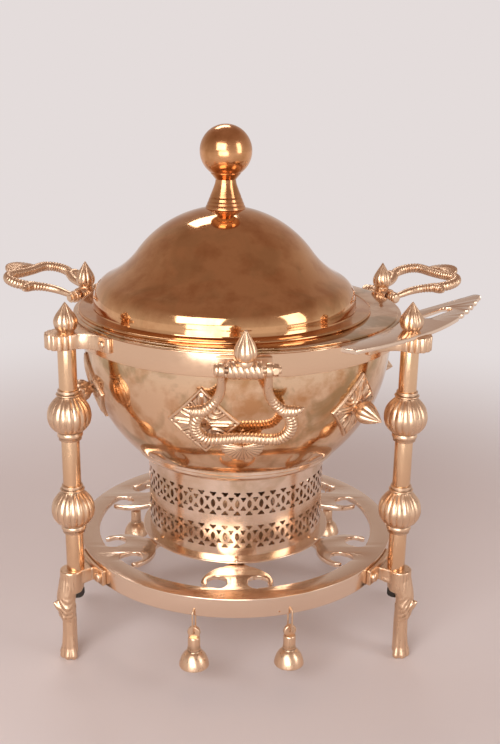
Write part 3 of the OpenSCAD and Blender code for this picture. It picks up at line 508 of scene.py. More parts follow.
# %% Shapes around the dish
def tipped(shape, axis, degrees):
    spin = np.array(Matrix.Rotation(math.radians(degrees), 3, axis))
    return np.asarray(shape[0], float) @ spin.T, shape[1]


def placed(shape, angle, out=0.0, height=0.0):
    x, y, z = np.asarray(shape[0], float).T
    c, s = polar(1, angle)
    return np.stack([(x + out) * c - y * s, (x + out) * s + y * c, z + height], -1), shape[1]


def together(*shapes):
    points, faces, start = [], [], 0
    for p, f in shapes:
        points.append(np.asarray(p, float))
        faces += [tuple(i + start for i in face) for face in f]
        start += len(p)
    return np.vstack(points), faces


def ring_of(shape, angles, out=0.0, height=0.0):
    return together(*[placed(shape, a, out, height) for a in angles])


print("one step to the right at 90 degrees:", placed(([(1, 0, 0)], []), 90)[0].round(3).tolist())


# %% Sawn plates and the lower ring
def shape_of(mesh):
    points = np.zeros(len(mesh.vertices) * 3)
    mesh.vertices.foreach_get("co", points)
    return points.reshape(-1, 3) / MM, [tuple(f.vertices) for f in mesh.polygons]


def sawn_plate(outlines, thick, edge):
    curve = bpy.data.curves.new("outline", "CURVE")
    curve.dimensions = "2D"
    curve.fill_mode = "BOTH"
    curve.extrude = (thick / 2 - edge) * MM
    curve.bevel_depth = edge * MM
    curve.offset = -edge * MM
    curve.bevel_resolution = 1
    for outline in outlines:
        spline = curve.splines.new("POLY")
        spline.points.add(len(outline) - 1)
        spline.points.foreach_set("co", [v for x, y in outline for v in (x * MM, y * MM, 0, 1)])
        spline.use_cyclic_u = True
    plate = shape_of(result_of(linked("outline", curve)))
    bpy.data.curves.remove(curve)
    return plate


def bored(shape, tool):
    body, cutter = [linked("solid", cleaned(mesh_of(solid))) for solid in (shape, tool)]
    cut = body.modifiers.new("bore", "BOOLEAN")
    cut.operation = "DIFFERENCE"
    cut.solver = "EXACT"
    cut.object = cutter
    mesh = result_of(body)
    bpy.data.objects.remove(cutter)
    return mesh


RING_IN, RING_PLATE, SKIRT, SKIRT_TALL, ORNAMENT_HALF = 134.0, 4.0, 3.0, 18.0, 7.9
BELL_R, BELL_HOLE, BORE = RING_R - SKIRT / 2, RING_TOP - 13, 1.15
BELL_ANGLES = [middle + side * 16 for middle in (271.6, 30, 151.6) for side in (-1, 1)]
half = [(17.5, 0), (13.6, 1.2), (11.0, 3.4), (9.4, 6.2), (8.4, 9.4)]
half += arc(18.2, 13.0, 9.1, 196, -22, 22) + [(28.0, 6.8), (30.4, 7.6)]
half += arc(0, 9.6, 32.2, 2, 68, 20) + [(9.6, 41.6), (7.6, 43.8), (6.4, 46.0), (6.0, 48.0)]
ornament = [(-x, y) for x, y in half] + half[::-1]
hole = []
for middle in range(30, 360, 60):
    c, s = polar(1, middle)
    hole += [((RING_IN - y) * c - x * s, (RING_IN - y) * s + x * c) for x, y in ornament]
    hole += arc(0, 0, RING_IN, middle + ORNAMENT_HALF, middle + 60 - ORNAMENT_HALF, 20)
lower_ring = sawn_plate([arc(0, 0, RING_R, 0, 358, 180), hole], RING_PLATE, 0.6)
lower_ring = moved(lower_ring, 0, 0, RING_TOP - RING_PLATE / 2)
settle("sawn_lower_ring", lower_ring, plate_brass, "stand", "lower_ring")

skirt_low, skirt_top = RING_TOP - SKIRT_TALL, RING_TOP - 2
skirt = lathe([(RING_R - SKIRT, skirt_low, 0.6), (RING_R, skirt_low, 0.8), (RING_R, skirt_top, 0.4),
               (RING_R - SKIRT, skirt_top, 0.4)], 240, closed=True)
drill = tipped(lathe([(0, -6), (BORE, -6), (BORE, 6), (0, 6)], 16), "Y", 90)
spare = placed((drill[0] * 0.8, drill[1]), BELL_ANGLES[1] - 4, BELL_R, BELL_HOLE - 1)
drills = together(ring_of(drill, BELL_ANGLES, BELL_R, BELL_HOLE), spare)
settle("skirt_of_the_lower_ring", bored(skirt, drills), plate_brass, "stand")

# %% [markdown]
# ## Burner
# The housing is a drum of rolled sheet with two pierced rows: interlaced circles leave a pointed lens
# between each pair, and small trefoils above and below. One cell of the pattern is drawn flat as
# closed outlines. Geometry Nodes fill it, repeat it along the wall and roll the strip into a drum,
# which is how such sheet is really pierced and formed. Solidify then gives the sheet its thickness.

# %% Pierced drum
HOUSE_R, CELLS, SHEET_WALL, ROWS = 84.5, 48, 1.6, (0.28, 0.695)
PITCH = 2 * math.pi * HOUSE_R / CELLS
LENS_WIDE, LENS_TALL, NEAR, NEAR_SIZE, FAR, FAR_SIZE, FAR_WIDE = 2.1, 4.4, 4.7, 2.1, 9.5, 1.95, 1.45


def lens(cx, cy, wide, tall, steps=10):
    bow = (tall * tall + wide * wide) / (2 * wide)
    turn = math.degrees(math.asin(tall / bow))
    right = arc(cx - bow + wide, cy, bow, -turn, turn, steps)
    return right + arc(cx + bow - wide, cy, bow, 180 - turn, 180 + turn, steps)[1:-1]


def trefoil(cx, cy, size, side, wide=1.0, steps=18):
    return [(cx + wide * q * math.cos(t + side * math.pi / 2), cy + q * math.sin(t + side * math.pi / 2))
            for t in full_turn(steps) for q in [size * (1 + 0.3 * math.cos(3 * t))]]


cell = [[(PITCH / 4, 0), (PITCH * 5 / 4, 0), (PITCH * 5 / 4, HOUSE_TALL), (PITCH / 4, HOUSE_TALL)]]
for row in ROWS:
    y = row * HOUSE_TALL
    cell.append(lens(PITCH, y, LENS_WIDE, LENS_TALL))
    for side in (-1, 1):
        cell.append(trefoil(PITCH / 2, y - side * NEAR, NEAR_SIZE, side))
        cell.append(trefoil(PITCH, y - side * FAR, FAR_SIZE, side, FAR_WIDE))
flat = bpy.data.meshes.new("pattern cell")
corners, edges = [], []
for loop in cell:
    start = len(corners)
    corners += [(x * MM, y * MM, 0) for x, y in loop]
    edges += [(start + i, start + (i + 1) % len(loop)) for i in range(len(loop))]
flat.from_pydata(corners, edges, [])

drum_tree, given = new_tree("pierced drum", ("Cells", "Int"), ("Pitch", "Float"), ("Radius", "Float"),
                            ("Finish", "Material"))
loops = add(drum_tree, "GeometryNodeMeshToCurve", [given["Geometry"]])
sheet = add(drum_tree, "GeometryNodeFillCurve", [loops])
stride = add(drum_tree, "ShaderNodeCombineXYZ", [given["Pitch"]])
line = add(drum_tree, "GeometryNodeMeshLine", {"Count": given["Cells"], "Offset": stride}, mode="OFFSET")
row = add(drum_tree, "GeometryNodeInstanceOnPoints", {"Points": line, "Instance": sheet})
strip = add(drum_tree, "GeometryNodeRealizeInstances", [row])
spot = add(drum_tree, "GeometryNodeInputPosition")
along, height, _ = add(drum_tree, "ShaderNodeSeparateXYZ", [spot]).outputs
turn = add(drum_tree, "ShaderNodeMath", [along, given["Radius"]], operation="DIVIDE")
rolled = []
for wave in ("COSINE", "SINE"):
    share = add(drum_tree, "ShaderNodeMath", [turn], operation=wave)
    rolled.append(add(drum_tree, "ShaderNodeMath", [share, given["Radius"]], operation="MULTIPLY"))
rolled_spot = add(drum_tree, "ShaderNodeCombineXYZ", [*rolled, height])
wall = add(drum_tree, "GeometryNodeSetPosition", {"Geometry": strip, "Position": rolled_spot})
close_tree(drum_tree, wall, given["Finish"])
drum = run_tree(drum_tree, flat, cells=CELLS, pitch=PITCH * MM, radius=HOUSE_R * MM, finish=drum_brass)


def thickened(mesh, thick, low):
    bm = bmesh.new()
    bm.from_mesh(mesh)
    bmesh.ops.translate(bm, vec=(0, 0, low * MM), verts=bm.verts)
    bmesh.ops.remove_doubles(bm, verts=bm.verts, dist=0.01 * MM)
    for face in bm.faces:
        middle = face.calc_center_median()
        if face.normal.dot(Vector((middle.x, middle.y, 0))) < 0:
            face.normal_flip()
    bm.to_mesh(mesh)
    bm.free()
    carrier = linked("sheet", mesh)
    solid = carrier.modifiers.new("sheet", "SOLIDIFY")
    solid.thickness = thick * MM
    solid.offset = -1
    return result_of(carrier)


drum = thickened(drum, SHEET_WALL, HOUSE_LOW)
housing = settle("pierced_drum", drum, drum_brass, "stand", "burner_housing")
# The wall is a true cylinder, so its shading normals point straight out or in; cut edges stay sharp.
normals = []
for face in housing.data.polygons:
    for index in face.vertices:
        spot = housing.data.vertices[index].co
        radial = Vector((spot.x, spot.y, 0)).normalized()
        facing = face.normal.dot(radial)
        normals.append(radial if facing > 0.8 else -radial if facing < -0.8 else face.normal.copy())
housing.data.normals_split_custom_set(normals)

base = lathe([(0, 0), (89.6, 0, 0.4), (91.0, 0.6, 0.5), (91.0, 1.9, 0.5), (90.2, BASE_PLATE, 0.3),
              (0, BASE_PLATE)], 144)
settle("burner_floor", moved(base, 0, 0, RING_TOP), plate_brass, "stand", "burner_base")
cup = lathe([(0, 0), (36, 0, 1.5), (36, 35, 0.6), (35.4, 36, 0.5), (34.4, 35, 0.5), (34.4, 1.6, 1.5),
             (0, 1.6)], 96)
settle("spun_fuel_cup", moved(cup, 0, 0, HOUSE_LOW), cast_brass, "stand", "fuel_cup")

# %% [markdown]
# ## Fluted knops, buds and finials
# Each leg carries two melon knops, and legs, handles and medallions end in lotus buds. Both are turned
# blanks with flutes filed around them. One tree does the filing: it reads the angle around the axis
# and sinks the surface by one minus the sine, which leaves full lobes with sharp valleys. A second
# tree sets the finished shape out at a list of points, each with its own turn.

# %% Fluting and setting-out trees
def file_grooves(tree, given, geometry, direction, phase, mask):
    wave = add(tree, "ShaderNodeMath", [phase], operation="SINE")
    lobes = add(tree, "ShaderNodeMath", [wave], operation="ABSOLUTE")
    sunk = add(tree, "ShaderNodeMath", [lobes, 1.0], operation="SUBTRACT")
    share = add(tree, "GeometryNodeInputNamedAttribute", {"Name": mask}, data_type="FLOAT")
    local = add(tree, "ShaderNodeMath", [sunk, share], operation="MULTIPLY")
    deep = add(tree, "ShaderNodeMath", [local, given["Depth"]], operation="MULTIPLY")
    push = add(tree, "ShaderNodeVectorMath", {0: direction, "Scale": deep}, operation="SCALE")
    filed = add(tree, "GeometryNodeSetPosition", {"Geometry": geometry, "Offset": push})
    close_tree(tree, filed, given["Finish"])


flute_tree, given = new_tree("flutes", ("Flutes", "Float"), ("Depth", "Float"), ("Finish", "Material"))
spot = add(flute_tree, "GeometryNodeInputPosition")
x, y, _ = add(flute_tree, "ShaderNodeSeparateXYZ", [spot]).outputs
level = add(flute_tree, "ShaderNodeCombineXYZ", [x, y])
outward = add(flute_tree, "ShaderNodeVectorMath", [level], operation="NORMALIZE")
around = add(flute_tree, "ShaderNodeMath", [y, x], operation="ARCTAN2")
halved = add(flute_tree, "ShaderNodeMath", [given["Flutes"], 0.5], operation="MULTIPLY")
phase = add(flute_tree, "ShaderNodeMath", [around, halved], operation="MULTIPLY")
file_grooves(flute_tree, given, given["Geometry"], outward, phase, "belly")

place_tree, given = new_tree("set out", ("Piece", "Object"), ("Finish", "Material"))
pattern = add(place_tree, "GeometryNodeObjectInfo", {"Object": given["Piece"], "As Instance": True})
turn = add(place_tree, "GeometryNodeInputNamedAttribute", {"Name": "turn"}, data_type="FLOAT_VECTOR")
spread = add(place_tree, "GeometryNodeInstanceOnPoints",
             {"Points": given["Geometry"], "Instance": pattern.outputs["Geometry"], "Rotation": turn})
close_tree(place_tree, spread, given["Finish"])


def fluted(profile, flutes, depth, steps):
    rows = np.array(profile, float)
    mesh = mesh_of(lathe(rows[:, :2], steps))
    level = mesh.attributes.new("belly", "FLOAT", "POINT")
    level.data.foreach_set("value", np.repeat(rows[:, 2], steps).astype(np.float32))
    return run_tree(flute_tree, mesh, flutes=float(flutes), depth=depth * MM, finish=cast_brass)


def spots(radius, angles, height, tip=0, turn=0):
    return [((*polar(radius, a), height), (0, tip, a + turn)) for a in angles]


def set_out(name, mesh, places, finish, *nodes, sharp=38):
    pattern = linked("pattern", mesh)
    points = bpy.data.meshes.new("spots")
    points.from_pydata([[v * MM for v in spot] for spot, _ in places], [], [])
    turn = points.attributes.new("turn", "FLOAT_VECTOR", "POINT")
    turn.data.foreach_set("vector", [math.radians(v) for _, angles in places for v in angles])
    result = run_tree(place_tree, points, piece=pattern, finish=finish)
    bpy.data.objects.remove(pattern)
    settle(name, result, finish, "stand", *nodes, sharp=sharp)


def each_leg(part):
    return [f"leg_{i}_{part}" for i in (1, 2, 3)]


print("trees:", flute_tree.name, "and", place_tree.name)

# %% [markdown]
# A knop is onion-shaped between two collars, with eighteen lobes. The finials are buds with eight
# lobes that taper hollow to a point, and five more buds lie on their side on the medallions.

# %% Knops, finials and buds
UPPER_KNOP, LOWER_KNOP, KNOP_UP, KNOP_DOWN, KNOP_LOBES, BUD_LOBES = 240, 151, 22, 24, 18, 8
collar = [(3.4, -KNOP_DOWN), (9.6, -KNOP_DOWN), (10.1, -23.5), (10.1, -21.0), (10.9, -20.6), (11.2, -19.8),
          (11.2, -17.6), (10.8, -17.0), (10.8, -16.4)]
swell = through([(11.2, -15.9), (14.6, -13.6), (17.6, -9.4), (19.2, -3.4), (19.0, 1.6), (17.2, 7.0),
                 (13.8, 11.8), (10.8, 14.8), (9.2, 16.6)], 0.9)
cap = [(9.2, 17.0), (10.6, 17.4), (11.0, 18.0), (10.6, 18.6), (9.2, 19.0), (9.0, 19.6), (9.4, 21.4),
       (9.2, KNOP_UP), (3.4, KNOP_UP)]
melon = [(r, z, 0) for r, z in collar] + [(r, z, min(1.0, (z + 16.6) / 3, (17 - z) / 4)) for r, z in swell]
knop = fluted(melon + [(r, z, 0) for r, z in cap], KNOP_LOBES, 0.85, 216)
seats = spots(LEG_R, LEG_ANGLES, UPPER_KNOP) + spots(LEG_R, LEG_ANGLES, LOWER_KNOP)
set_out("fluted_knops", knop, seats, cast_brass, *each_leg("melons"), sharp=75)


def bud(outline, depth):
    line = through(outline, 0.7)
    wide = line[:, 0].max()
    rows = [(max(r, 0), z, min(1.0, z / 4, r / wide * 1.6)) for r, z in line[:-1]]
    return fluted([(0, 0, 0)] + rows + [(0, outline[-1][1], 0)], BUD_LOBES, depth, 144)


BRACKET_TOP, REST_THICK = BAND_TOP - 0.5, 2.5
leg_bud = bud([(7.0, 0), (7.4, 1.0), (9.3, 4.0), (10.3, 8.4), (9.8, 11.6), (8.0, 15.2), (5.4, 18.8),
               (3.1, 22.0), (1.4, 24.4), (0.2, 26)], 1.1)
# The second leg's bud stands on the ladle rest.
seats = spots(LEG_R, LEG_ANGLES[::2], BRACKET_TOP)
seats += spots(LEG_R, LEG_ANGLES[1:2], BRACKET_TOP + REST_THICK)
set_out("leg_buds", leg_bud, seats, cast_brass, "leg_finials", sharp=75)

HANDLE_R, HANDLE_ANGLES, PIVOT_Z, HANDLE_POST = BAND_R + 22.5, (271, 31, 151), BAND_TOP - 6, 8
handle_bud = bud([(6.9, 0), (7.3, 0.8), (8.9, 3.0), (9.5, 6.0), (9.2, 8.8), (7.8, 12.4), (5.4, 16.4),
                  (3.0, 20.2), (1.3, 22.9), (0.2, 24.5)], 0.8)
seats = spots(HANDLE_R, HANDLE_ANGLES, PIVOT_Z + HANDLE_POST)
set_out("handle_buds", handle_bud, seats, cast_brass, "handle_finials", sharp=75)

MEDALLION_ANGLES, DIP, PLATE_RISE = [257.4 + 60 * k for k in range(6)], 16.0, 3.0
side_bud = bud([(5.4, 0), (6.0, 1.2), (8.6, 3.8), (10.0, 7.6), (9.8, 10.4), (8.2, 14.6), (5.6, 18.8),
                (3.1, 22.2), (1.3, 24.6), (0.2, 26)], 1.2)
reach, drop = polar(BOWL_R + PLATE_RISE, DIP)
seats = spots(reach, MEDALLION_ANGLES[1:], BOWL_Z - drop, tip=90 + DIP)
set_out("medallion_side_buds", side_bud, seats, cast_brass, "medallion_buds", sharp=75)

# %% [markdown]
# ## Medallions
# Six cast diamonds sit on the bowl, five of them behind buds. Ribs run from the corners to the middle,
# a leaf swells at the upper and lower corner, a small boss marks the side corners, and each quarter
# holds nested loops that open toward the edge. The relief is a height drawn over a fine grid and
# wrapped on the bowl's sphere, so the back follows the bowl. The front left one has lost its bud, so
# the stud's hole shows.

# %% Medallions
WIDE, TALL, QUARTER, GRID = 31.0, 33.0, 22.6, 88
LOOP_GAP, LOOP_REACH, LEAF_AT, BOSS_AT, GROUND, STUD_HOLE = 3.3, 8.6, 21.5, 23.0, 1.2, 2.9


def smooth(x, low, high):
    t = np.clip((x - low) / (high - low), 0, 1)
    return t * t * (3 - 2 * t)


def relief(u, v, hole):
    high, wide = np.abs(u) / TALL, np.abs(v) / WIDE
    edge = (1 - high - wide) * QUARTER
    loop = np.hypot((high - wide) * QUARTER, 0.6 * (edge - 2.0))
    loops = (0.5 + 0.5 * np.cos(2 * math.pi * loop / LOOP_GAP)) ** 1.3
    loops = loops * (1 - smooth(loop, LOOP_REACH, LOOP_REACH + 1)) * smooth(edge, 2.4, 3.4)
    beside = np.minimum(high, wide) * WIDE
    ribs = (1 - smooth(np.abs(beside - 1.5), 0.4, 1.2)) * smooth(edge, 2.0, 4.0)
    leaf = 1 - smooth(np.hypot((np.abs(u) - LEAF_AT) / 8.0, v / 4.4), 0.45, 1.0)
    boss = 1 - smooth(np.hypot(np.abs(v) - BOSS_AT, u), 1.6, 2.6)
    rim = 1 - smooth(np.abs(edge - 1.3), 0.9, 2.0)
    seat = 1 - smooth(np.hypot(u, v), 6.0, 8.0)
    lift = GROUND + np.maximum.reduce([rim, 1.4 * loops, 1.5 * ribs, 1.75 * leaf, 1.7 * boss, 1.6 * seat])
    lift = np.minimum(lift, PLATE_RISE) * smooth(edge, -0.1, 0.9) + 0.15
    return np.where(np.hypot(u, v) < STUD_HOLE, 0.2, lift) if hole else lift


def medallion(angle, hole):
    n = GRID
    p, q = np.meshgrid(np.linspace(-1, 1, n), np.linspace(-1, 1, n), indexing="ij")
    u, v = TALL * (p + q) / 2, WIDE * (p - q) / 2
    drop = np.sqrt(BOWL_R ** 2 - u ** 2 - v ** 2)
    sides = []
    for lift in (relief(u, v, hole), -0.02):
        stretch = (BOWL_R + lift) / BOWL_R
        sides.append(skin(np.stack([drop * stretch, v * stretch, -u * stretch], -1), wrap=False))
    points, faces = together(*sides)
    index = np.arange(n * n).reshape(n, n)
    border = np.concatenate([index[0, :-1], index[:-1, -1], index[-1, :0:-1], index[:0:-1, 0]]).tolist()
    for a, b in zip(border, border[1:] + border[:1]):
        faces.append((a, b, b + n * n, a + n * n))
    return placed(tipped((points, faces), "Y", DIP), angle, 0, BOWL_Z)


medallions = together(*[medallion(a, k == 0) for k, a in enumerate(MEDALLION_ANGLES)])
settle("cast_medallions", medallions, cast_brass, "stand", "medallion_plates", sharp=60)

# %% [markdown]
# ## Legs
# A leg is a steel rod strung with brass: bracket, tube, knop, tube, knop, tube and paw. The tubes
# are plain drawn stock. The brackets are cast flat: a scalloped outer end over the leg and two wings
# riveted to the band, so a bevelled outline suits them.

# %% Tubes and brackets
BRACKET_TALL, TUBE_R, TUBE_IN, PAD_TOP = 13.0, 8.0, 6.7, RING_TOP - 6
BRACKET_LOW = BRACKET_TOP - BRACKET_TALL
tubes = []
lows = (UPPER_KNOP + KNOP_UP, LOWER_KNOP + KNOP_UP, PAD_TOP)
highs = (BRACKET_LOW, UPPER_KNOP - KNOP_DOWN, LOWER_KNOP - KNOP_DOWN)
for low, high in zip(lows, highs):
    tube = [(TUBE_IN, low), (TUBE_R, low, 0.4), (TUBE_R, high, 0.4), (TUBE_IN, high)]
    tubes.append(ring_of(lathe(tube, 48, closed=True), LEG_ANGLES, LEG_R))
settle("drawn_leg_tubes", together(*tubes), tube_brass, "stand", *each_leg("tubes"))

END_R, END_SHIFT, SCALLOP = 14.7, 4, 1.5


def bracket_outline():
    end = []
    for a in np.linspace(-104, 104, 106):
        x, y = polar(END_R - SCALLOP * (1 - abs(math.sin(math.radians(a * 7.5)))) ** 1.4, a)
        end.append((END_SHIFT + x, y))
    wing = [polar(BAND_R + 3.2, a) for a in np.linspace(10.0, 14.4, 6)]
    wing += [polar(BAND_R + 2.4, 14.9), polar(BAND_R + 1, 15)]
    inner = [polar(BAND_R + 0.05, a) for a in np.linspace(14.8, -14.8, 40)]
    side = [(-3.4, 12.9), (-8.0, 14.6), (-12.6, 18.2), (-16.0, 23.6)] + [(x - LEG_R, y) for x, y in wing]
    return end + side + [(x - LEG_R, y) for x, y in inner] + [(x, -y) for x, y in side[::-1]]


bracket = sawn_plate([bracket_outline()], BRACKET_TALL, 0.9)
brackets = ring_of(bracket, LEG_ANGLES, LEG_R, BRACKET_LOW + BRACKET_TALL / 2)
settle("cast_leg_brackets", brackets, cast_brass, "stand", *each_leg("bracket"), sharp=45)

# %% [markdown]
# The paws were carved in wax and cast: a fluted pad beside the tube, an arm bolted to the ring, a
# shank with a spur and a swept tuft of hair, and five long toes around it. Overlapping lumps are
# fused by a voxel Remesh, as wax is pressed together, then smoothed, and the hair and flutes are
# combed in by moving vertices along their normals. A notch under the pad leaves room for the nut.

# %% Paw feet
def lump(centre, radius):
    return moved(lathe(arc(0, 0, radius, -90, 90, 9), 14), *centre)


def lumps(*balls, step=1.6):
    shapes = []
    for one, two in zip(balls[:-1], balls[1:]):
        a, b = np.array(one, float), np.array(two, float)
        for t in np.linspace(0, 1, max(2, int(np.linalg.norm((b - a)[:3]) / step))):
            *centre, radius = a + (b - a) * t
            shapes.append(lump(centre, radius))
    return together(*shapes)


def slab(x0, x1, half, z0, z1):
    points = [(x, y, z) for z in (z0, z1) for x, y in ((x0, -half), (x1, -half), (x1, half), (x0, half))]
    sides = [(i, (i + 1) % 4, (i + 1) % 4 + 4, i + 4) for i in range(4)]
    return np.array(points, float), [(0, 3, 2, 1), (4, 5, 6, 7)] + sides


def curved_plate(r0, r1, z0, z1, half, edge, steps=24):
    line = np.array(soften([(r0, z0, edge), (r1, z0, edge), (r1, z1, edge), (r0, z1, edge)], 3))
    rows = [np.stack([line[:, 0] * math.cos(a), line[:, 0] * math.sin(a), line[:, 1]], -1)
            for a in np.radians(np.linspace(-half, half, steps))]
    points, faces = skin(rows)
    n = len(line)
    return points, faces + [tuple(range(n))[::-1], tuple(range((steps - 1) * n, steps * n))]


def fused(shape, voxel, rounds):
    carrier = linked("wax", mesh_of(shape))
    melt = carrier.modifiers.new("fuse", "REMESH")
    melt.mode = "VOXEL"
    melt.voxel_size = voxel * MM
    calm = carrier.modifiers.new("calm", "SMOOTH")
    calm.factor = 0.5
    calm.iterations = rounds
    return result_of(carrier)


PAD_SHIFT, SHANK, ARM, WAX = 4.2, 7.6, -17, 0.75
COMB_DEEP, COMB_PITCH, COMB_X, COMB_Y, COMB_Z, RIB_DEEP, RIBS = 0.3, 2.9, 0.22, 0.9, 0.42, 0.35, 11
TOE = ((4.6, 44, 2.5), (5.0, 24, 2.8), (5.9, 11, 3.2), (7.6, 3.7, 3.6))
pad = lathe([(0, 68), (9.6, 68, 1.2), (10.4, 73, 1), (10.6, PAD_TOP, 0.8), (0, PAD_TOP)], 40)
boss = lathe([(0, 70), (7.0, 70, 0.8), (7.4, 80), (0, 80)], 40)
plate = curved_plate(RING_R + 0.1, RING_R + 4.2, 78.5, 93.5, 9.4, 0.8)
shank = lumps((6.0, 0, 78, 10.0), (9.6, 0, 66, 9.2), (10.2, 0, 56, 8.8), (9.6, 0, 47, 8.0),
              (SHANK, 0, 37, 6.4), (SHANK, 0, 24, 6.2), (SHANK, 0, 6.4, 6.2))
spur = lumps((11, 0, 52, 7.0), (15, 0, 54.6, 5.4), (18.6, 0, 57, 3.6), (21.4, 0, 59.4, 1.5), step=1.0)
paw_parts = [moved(pad, PAD_SHIFT, 0, 0), boss, slab(ARM, PAD_SHIFT, 8.6, 78, PAD_TOP),
             placed(plate, 0, -LEG_R), shank, spur]
for s in (1, -1):
    paw_parts.append(lumps((-14, s * 5, 80, 3.6), (-7, s * 5, 79.5, 4.2), (2, s * 4, 78, 4.6)))
    paw_parts.append(lumps((11.5, s * 4.6, 55, 4.6), (15.2, s * 4.0, 44, 1.9), step=1.0))
for turn in (-84, -42, 0, 42, 84):
    c, s = polar(1, turn)
    paw_parts.append(lumps(*[(SHANK + r * c, r * s, z, size) for r, z, size in TOE], step=1.2))
wax = fused(together(*paw_parts), WAX, 5)
points, faces = shape_of(wax)
unit = np.zeros(len(points) * 3)
wax.vertices.foreach_get("normal", unit)
x, y, z = points.T
swept_back = y * COMB_Y + (z - 50) * COMB_Z * np.sign(y) + COMB_X * x
comb = np.sin(2 * math.pi * swept_back / COMB_PITCH)
comb = COMB_DEEP * comb * smooth(z, 38, 44) * (1 - smooth(z, 62, 68)) * smooth(x, 4, 9)
ribs = RIB_DEEP * (np.abs(np.sin(np.arctan2(y, x - PAD_SHIFT) * RIBS)) - 0.6)
ribs = ribs * smooth(np.hypot(x - PAD_SHIFT, y), 8, 10) * smooth(x, 2, 6)
ribs = ribs * smooth(z, 70, 73) * (1 - smooth(z, 87, 89))
points = points + unit.reshape(-1, 3) * (comb + ribs)[:, None]
points[:, 2] = np.maximum(points[:, 2], 0.0)
paw = shape_of(bored((points, faces), slab(-9, 6.6, 6.6, 54, 70)))
settle("cast_paw_feet", ring_of(paw, LEG_ANGLES, LEG_R), cast_brass, "stand", *each_leg("foot"), sharp=70)

# %% [markdown]
# ## Rivets, screws, bolts and nuts
# Small fasteners repeat, so each is modelled once and set out by the tree. Heads are domed, nuts are
# six-sided with their corners turned off. The rod ends and the knob's hidden nut are plain enough to
# keep their CAD solids, and only get the steel finish.

# %% Fasteners
def keep_solid(node, finish):
    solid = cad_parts[node]
    solid.data.materials.clear()
    solid.data.materials.append(finish)
    print("kept CAD solid:", node)


def hex_nut(across, tall, hole, steps=72):
    a = full_turn(steps)
    flat = across / 2 / np.cos((a + math.pi / 6) % (math.pi / 3) - math.pi / 6)
    corners = ((0, 0.515), (0.14, 0.56), (0.2, 0.6), (0.8, 0.6), (0.86, 0.56), (1, 0.515))
    rings = [(z, np.minimum(flat, across * limit)) for z, limit in corners] + [(1, hole), (0, hole)]
    rows = [np.stack([r * np.cos(a), r * np.sin(a), 0 * a + z * tall], -1) for z, r in rings]
    return skin(rows + rows[:1])


def both_sides(angles, apart):
    return [a + s * apart for a in angles for s in (-1, 1)]


RIVET_LEG_Z, RIVET_HANDLE_Z, BOLT_Z, NUT_Z, SCREW_R = 307, 298.2, 86, 62, 88.5
# Degrees to each side of a leg or a handle.
LEG_RIVETS, HANDLE_RIVETS, ARM_BOLTS = 11.5, 6, 7.2
rivet = lathe([(0, -2.4), (2.0, -2.4), (2.0, 0), (3.5, 0.05), (3.4, 0.8), (2.8, 1.5), (1.6, 2.0),
               (0, 2.15)], 24)
heads = spots(BAND_R + 3.1, both_sides(LEG_ANGLES, LEG_RIVETS), RIVET_LEG_Z, tip=90)
heads += spots(BAND_R + 2.9, both_sides(HANDLE_ANGLES, HANDLE_RIVETS), RIVET_HANDLE_Z, tip=90)
set_out("rivet_heads", mesh_of(rivet), heads, cast_brass, "bracket_rivets")

bolt = lathe([(0, -7.6), (2.5, -7.6), (2.5, 0), (4.6, 0, 0.4), (4.7, 2.4, 1.2), (3.2, 3.6, 1.0),
              (0, 3.7)], 32)
bolt = together(bolt, moved(hex_nut(8, 4, 2.5), 0, 0, -11.2))
heads = spots(RING_R + 4.2, both_sides(LEG_ANGLES, ARM_BOLTS), BOLT_Z, tip=90)
set_out("ring_bolts", mesh_of(bolt), heads, cast_brass, "foot_bolts")
nut = mesh_of(hex_nut(12.5, 8, 3.0))
set_out("hexagon_foot_nuts", nut, spots(LEG_R, LEG_ANGLES, NUT_Z, turn=12), dark_steel, "foot_nuts")

screw = lathe([(0, -4), (1.5, -4), (1.5, 0), (2.1, 0), (2.0, 0.7), (1.5, 1.2), (0.7, 1.4), (0, 1.4)], 20)
# No two screws stop at the same turn.
heads = [((*polar(SCREW_R, 30 + 60 * k), HOUSE_LOW), (0, 0, 25 * k)) for k in range(6)]
set_out("burner_screw_heads", mesh_of(screw), heads, cast_brass, "base_screws")
for node in ("leg_rods", "lid_knob_nut"):
    keep_solid(node, dark_steel)

# %% [markdown]
# ## Handles
# Each handle is a bail between the eyes of a ribbed barrel, held by a through bolt. The barrel's ribs
# slant around it, so it is drawn as rows around the bolt's axis with a wave that shifts as it turns.

# %% Handle brackets and bolts
BARREL, BARREL_R, BARREL_RIB, BARREL_BORE, BARREL_RIBS, REACH = 13.2, 6.7, 0.7, 3.05, 6, 21.3


def ribbed_barrel(half, ribs, steps=72, rows=110):
    a = full_turn(steps)
    rings = [(-half, BARREL_BORE)]
    for y in np.linspace(-half, half, rows):
        wave = np.abs(np.sin(math.pi * ((y + half) / (2 * half) * ribs + a / math.pi))) ** 0.6
        ends = smooth(y, -half - 0.1, -half + 0.8) * (1 - smooth(y, half - 0.8, half + 0.1))
        rings.append((y, BARREL_R + BARREL_RIB * wave * ends))
    rings += [(half, BARREL_BORE), (-half, BARREL_BORE)]
    return skin([np.stack([r * np.cos(a), 0 * a + y, r * np.sin(a)], -1) for y, r in rings])


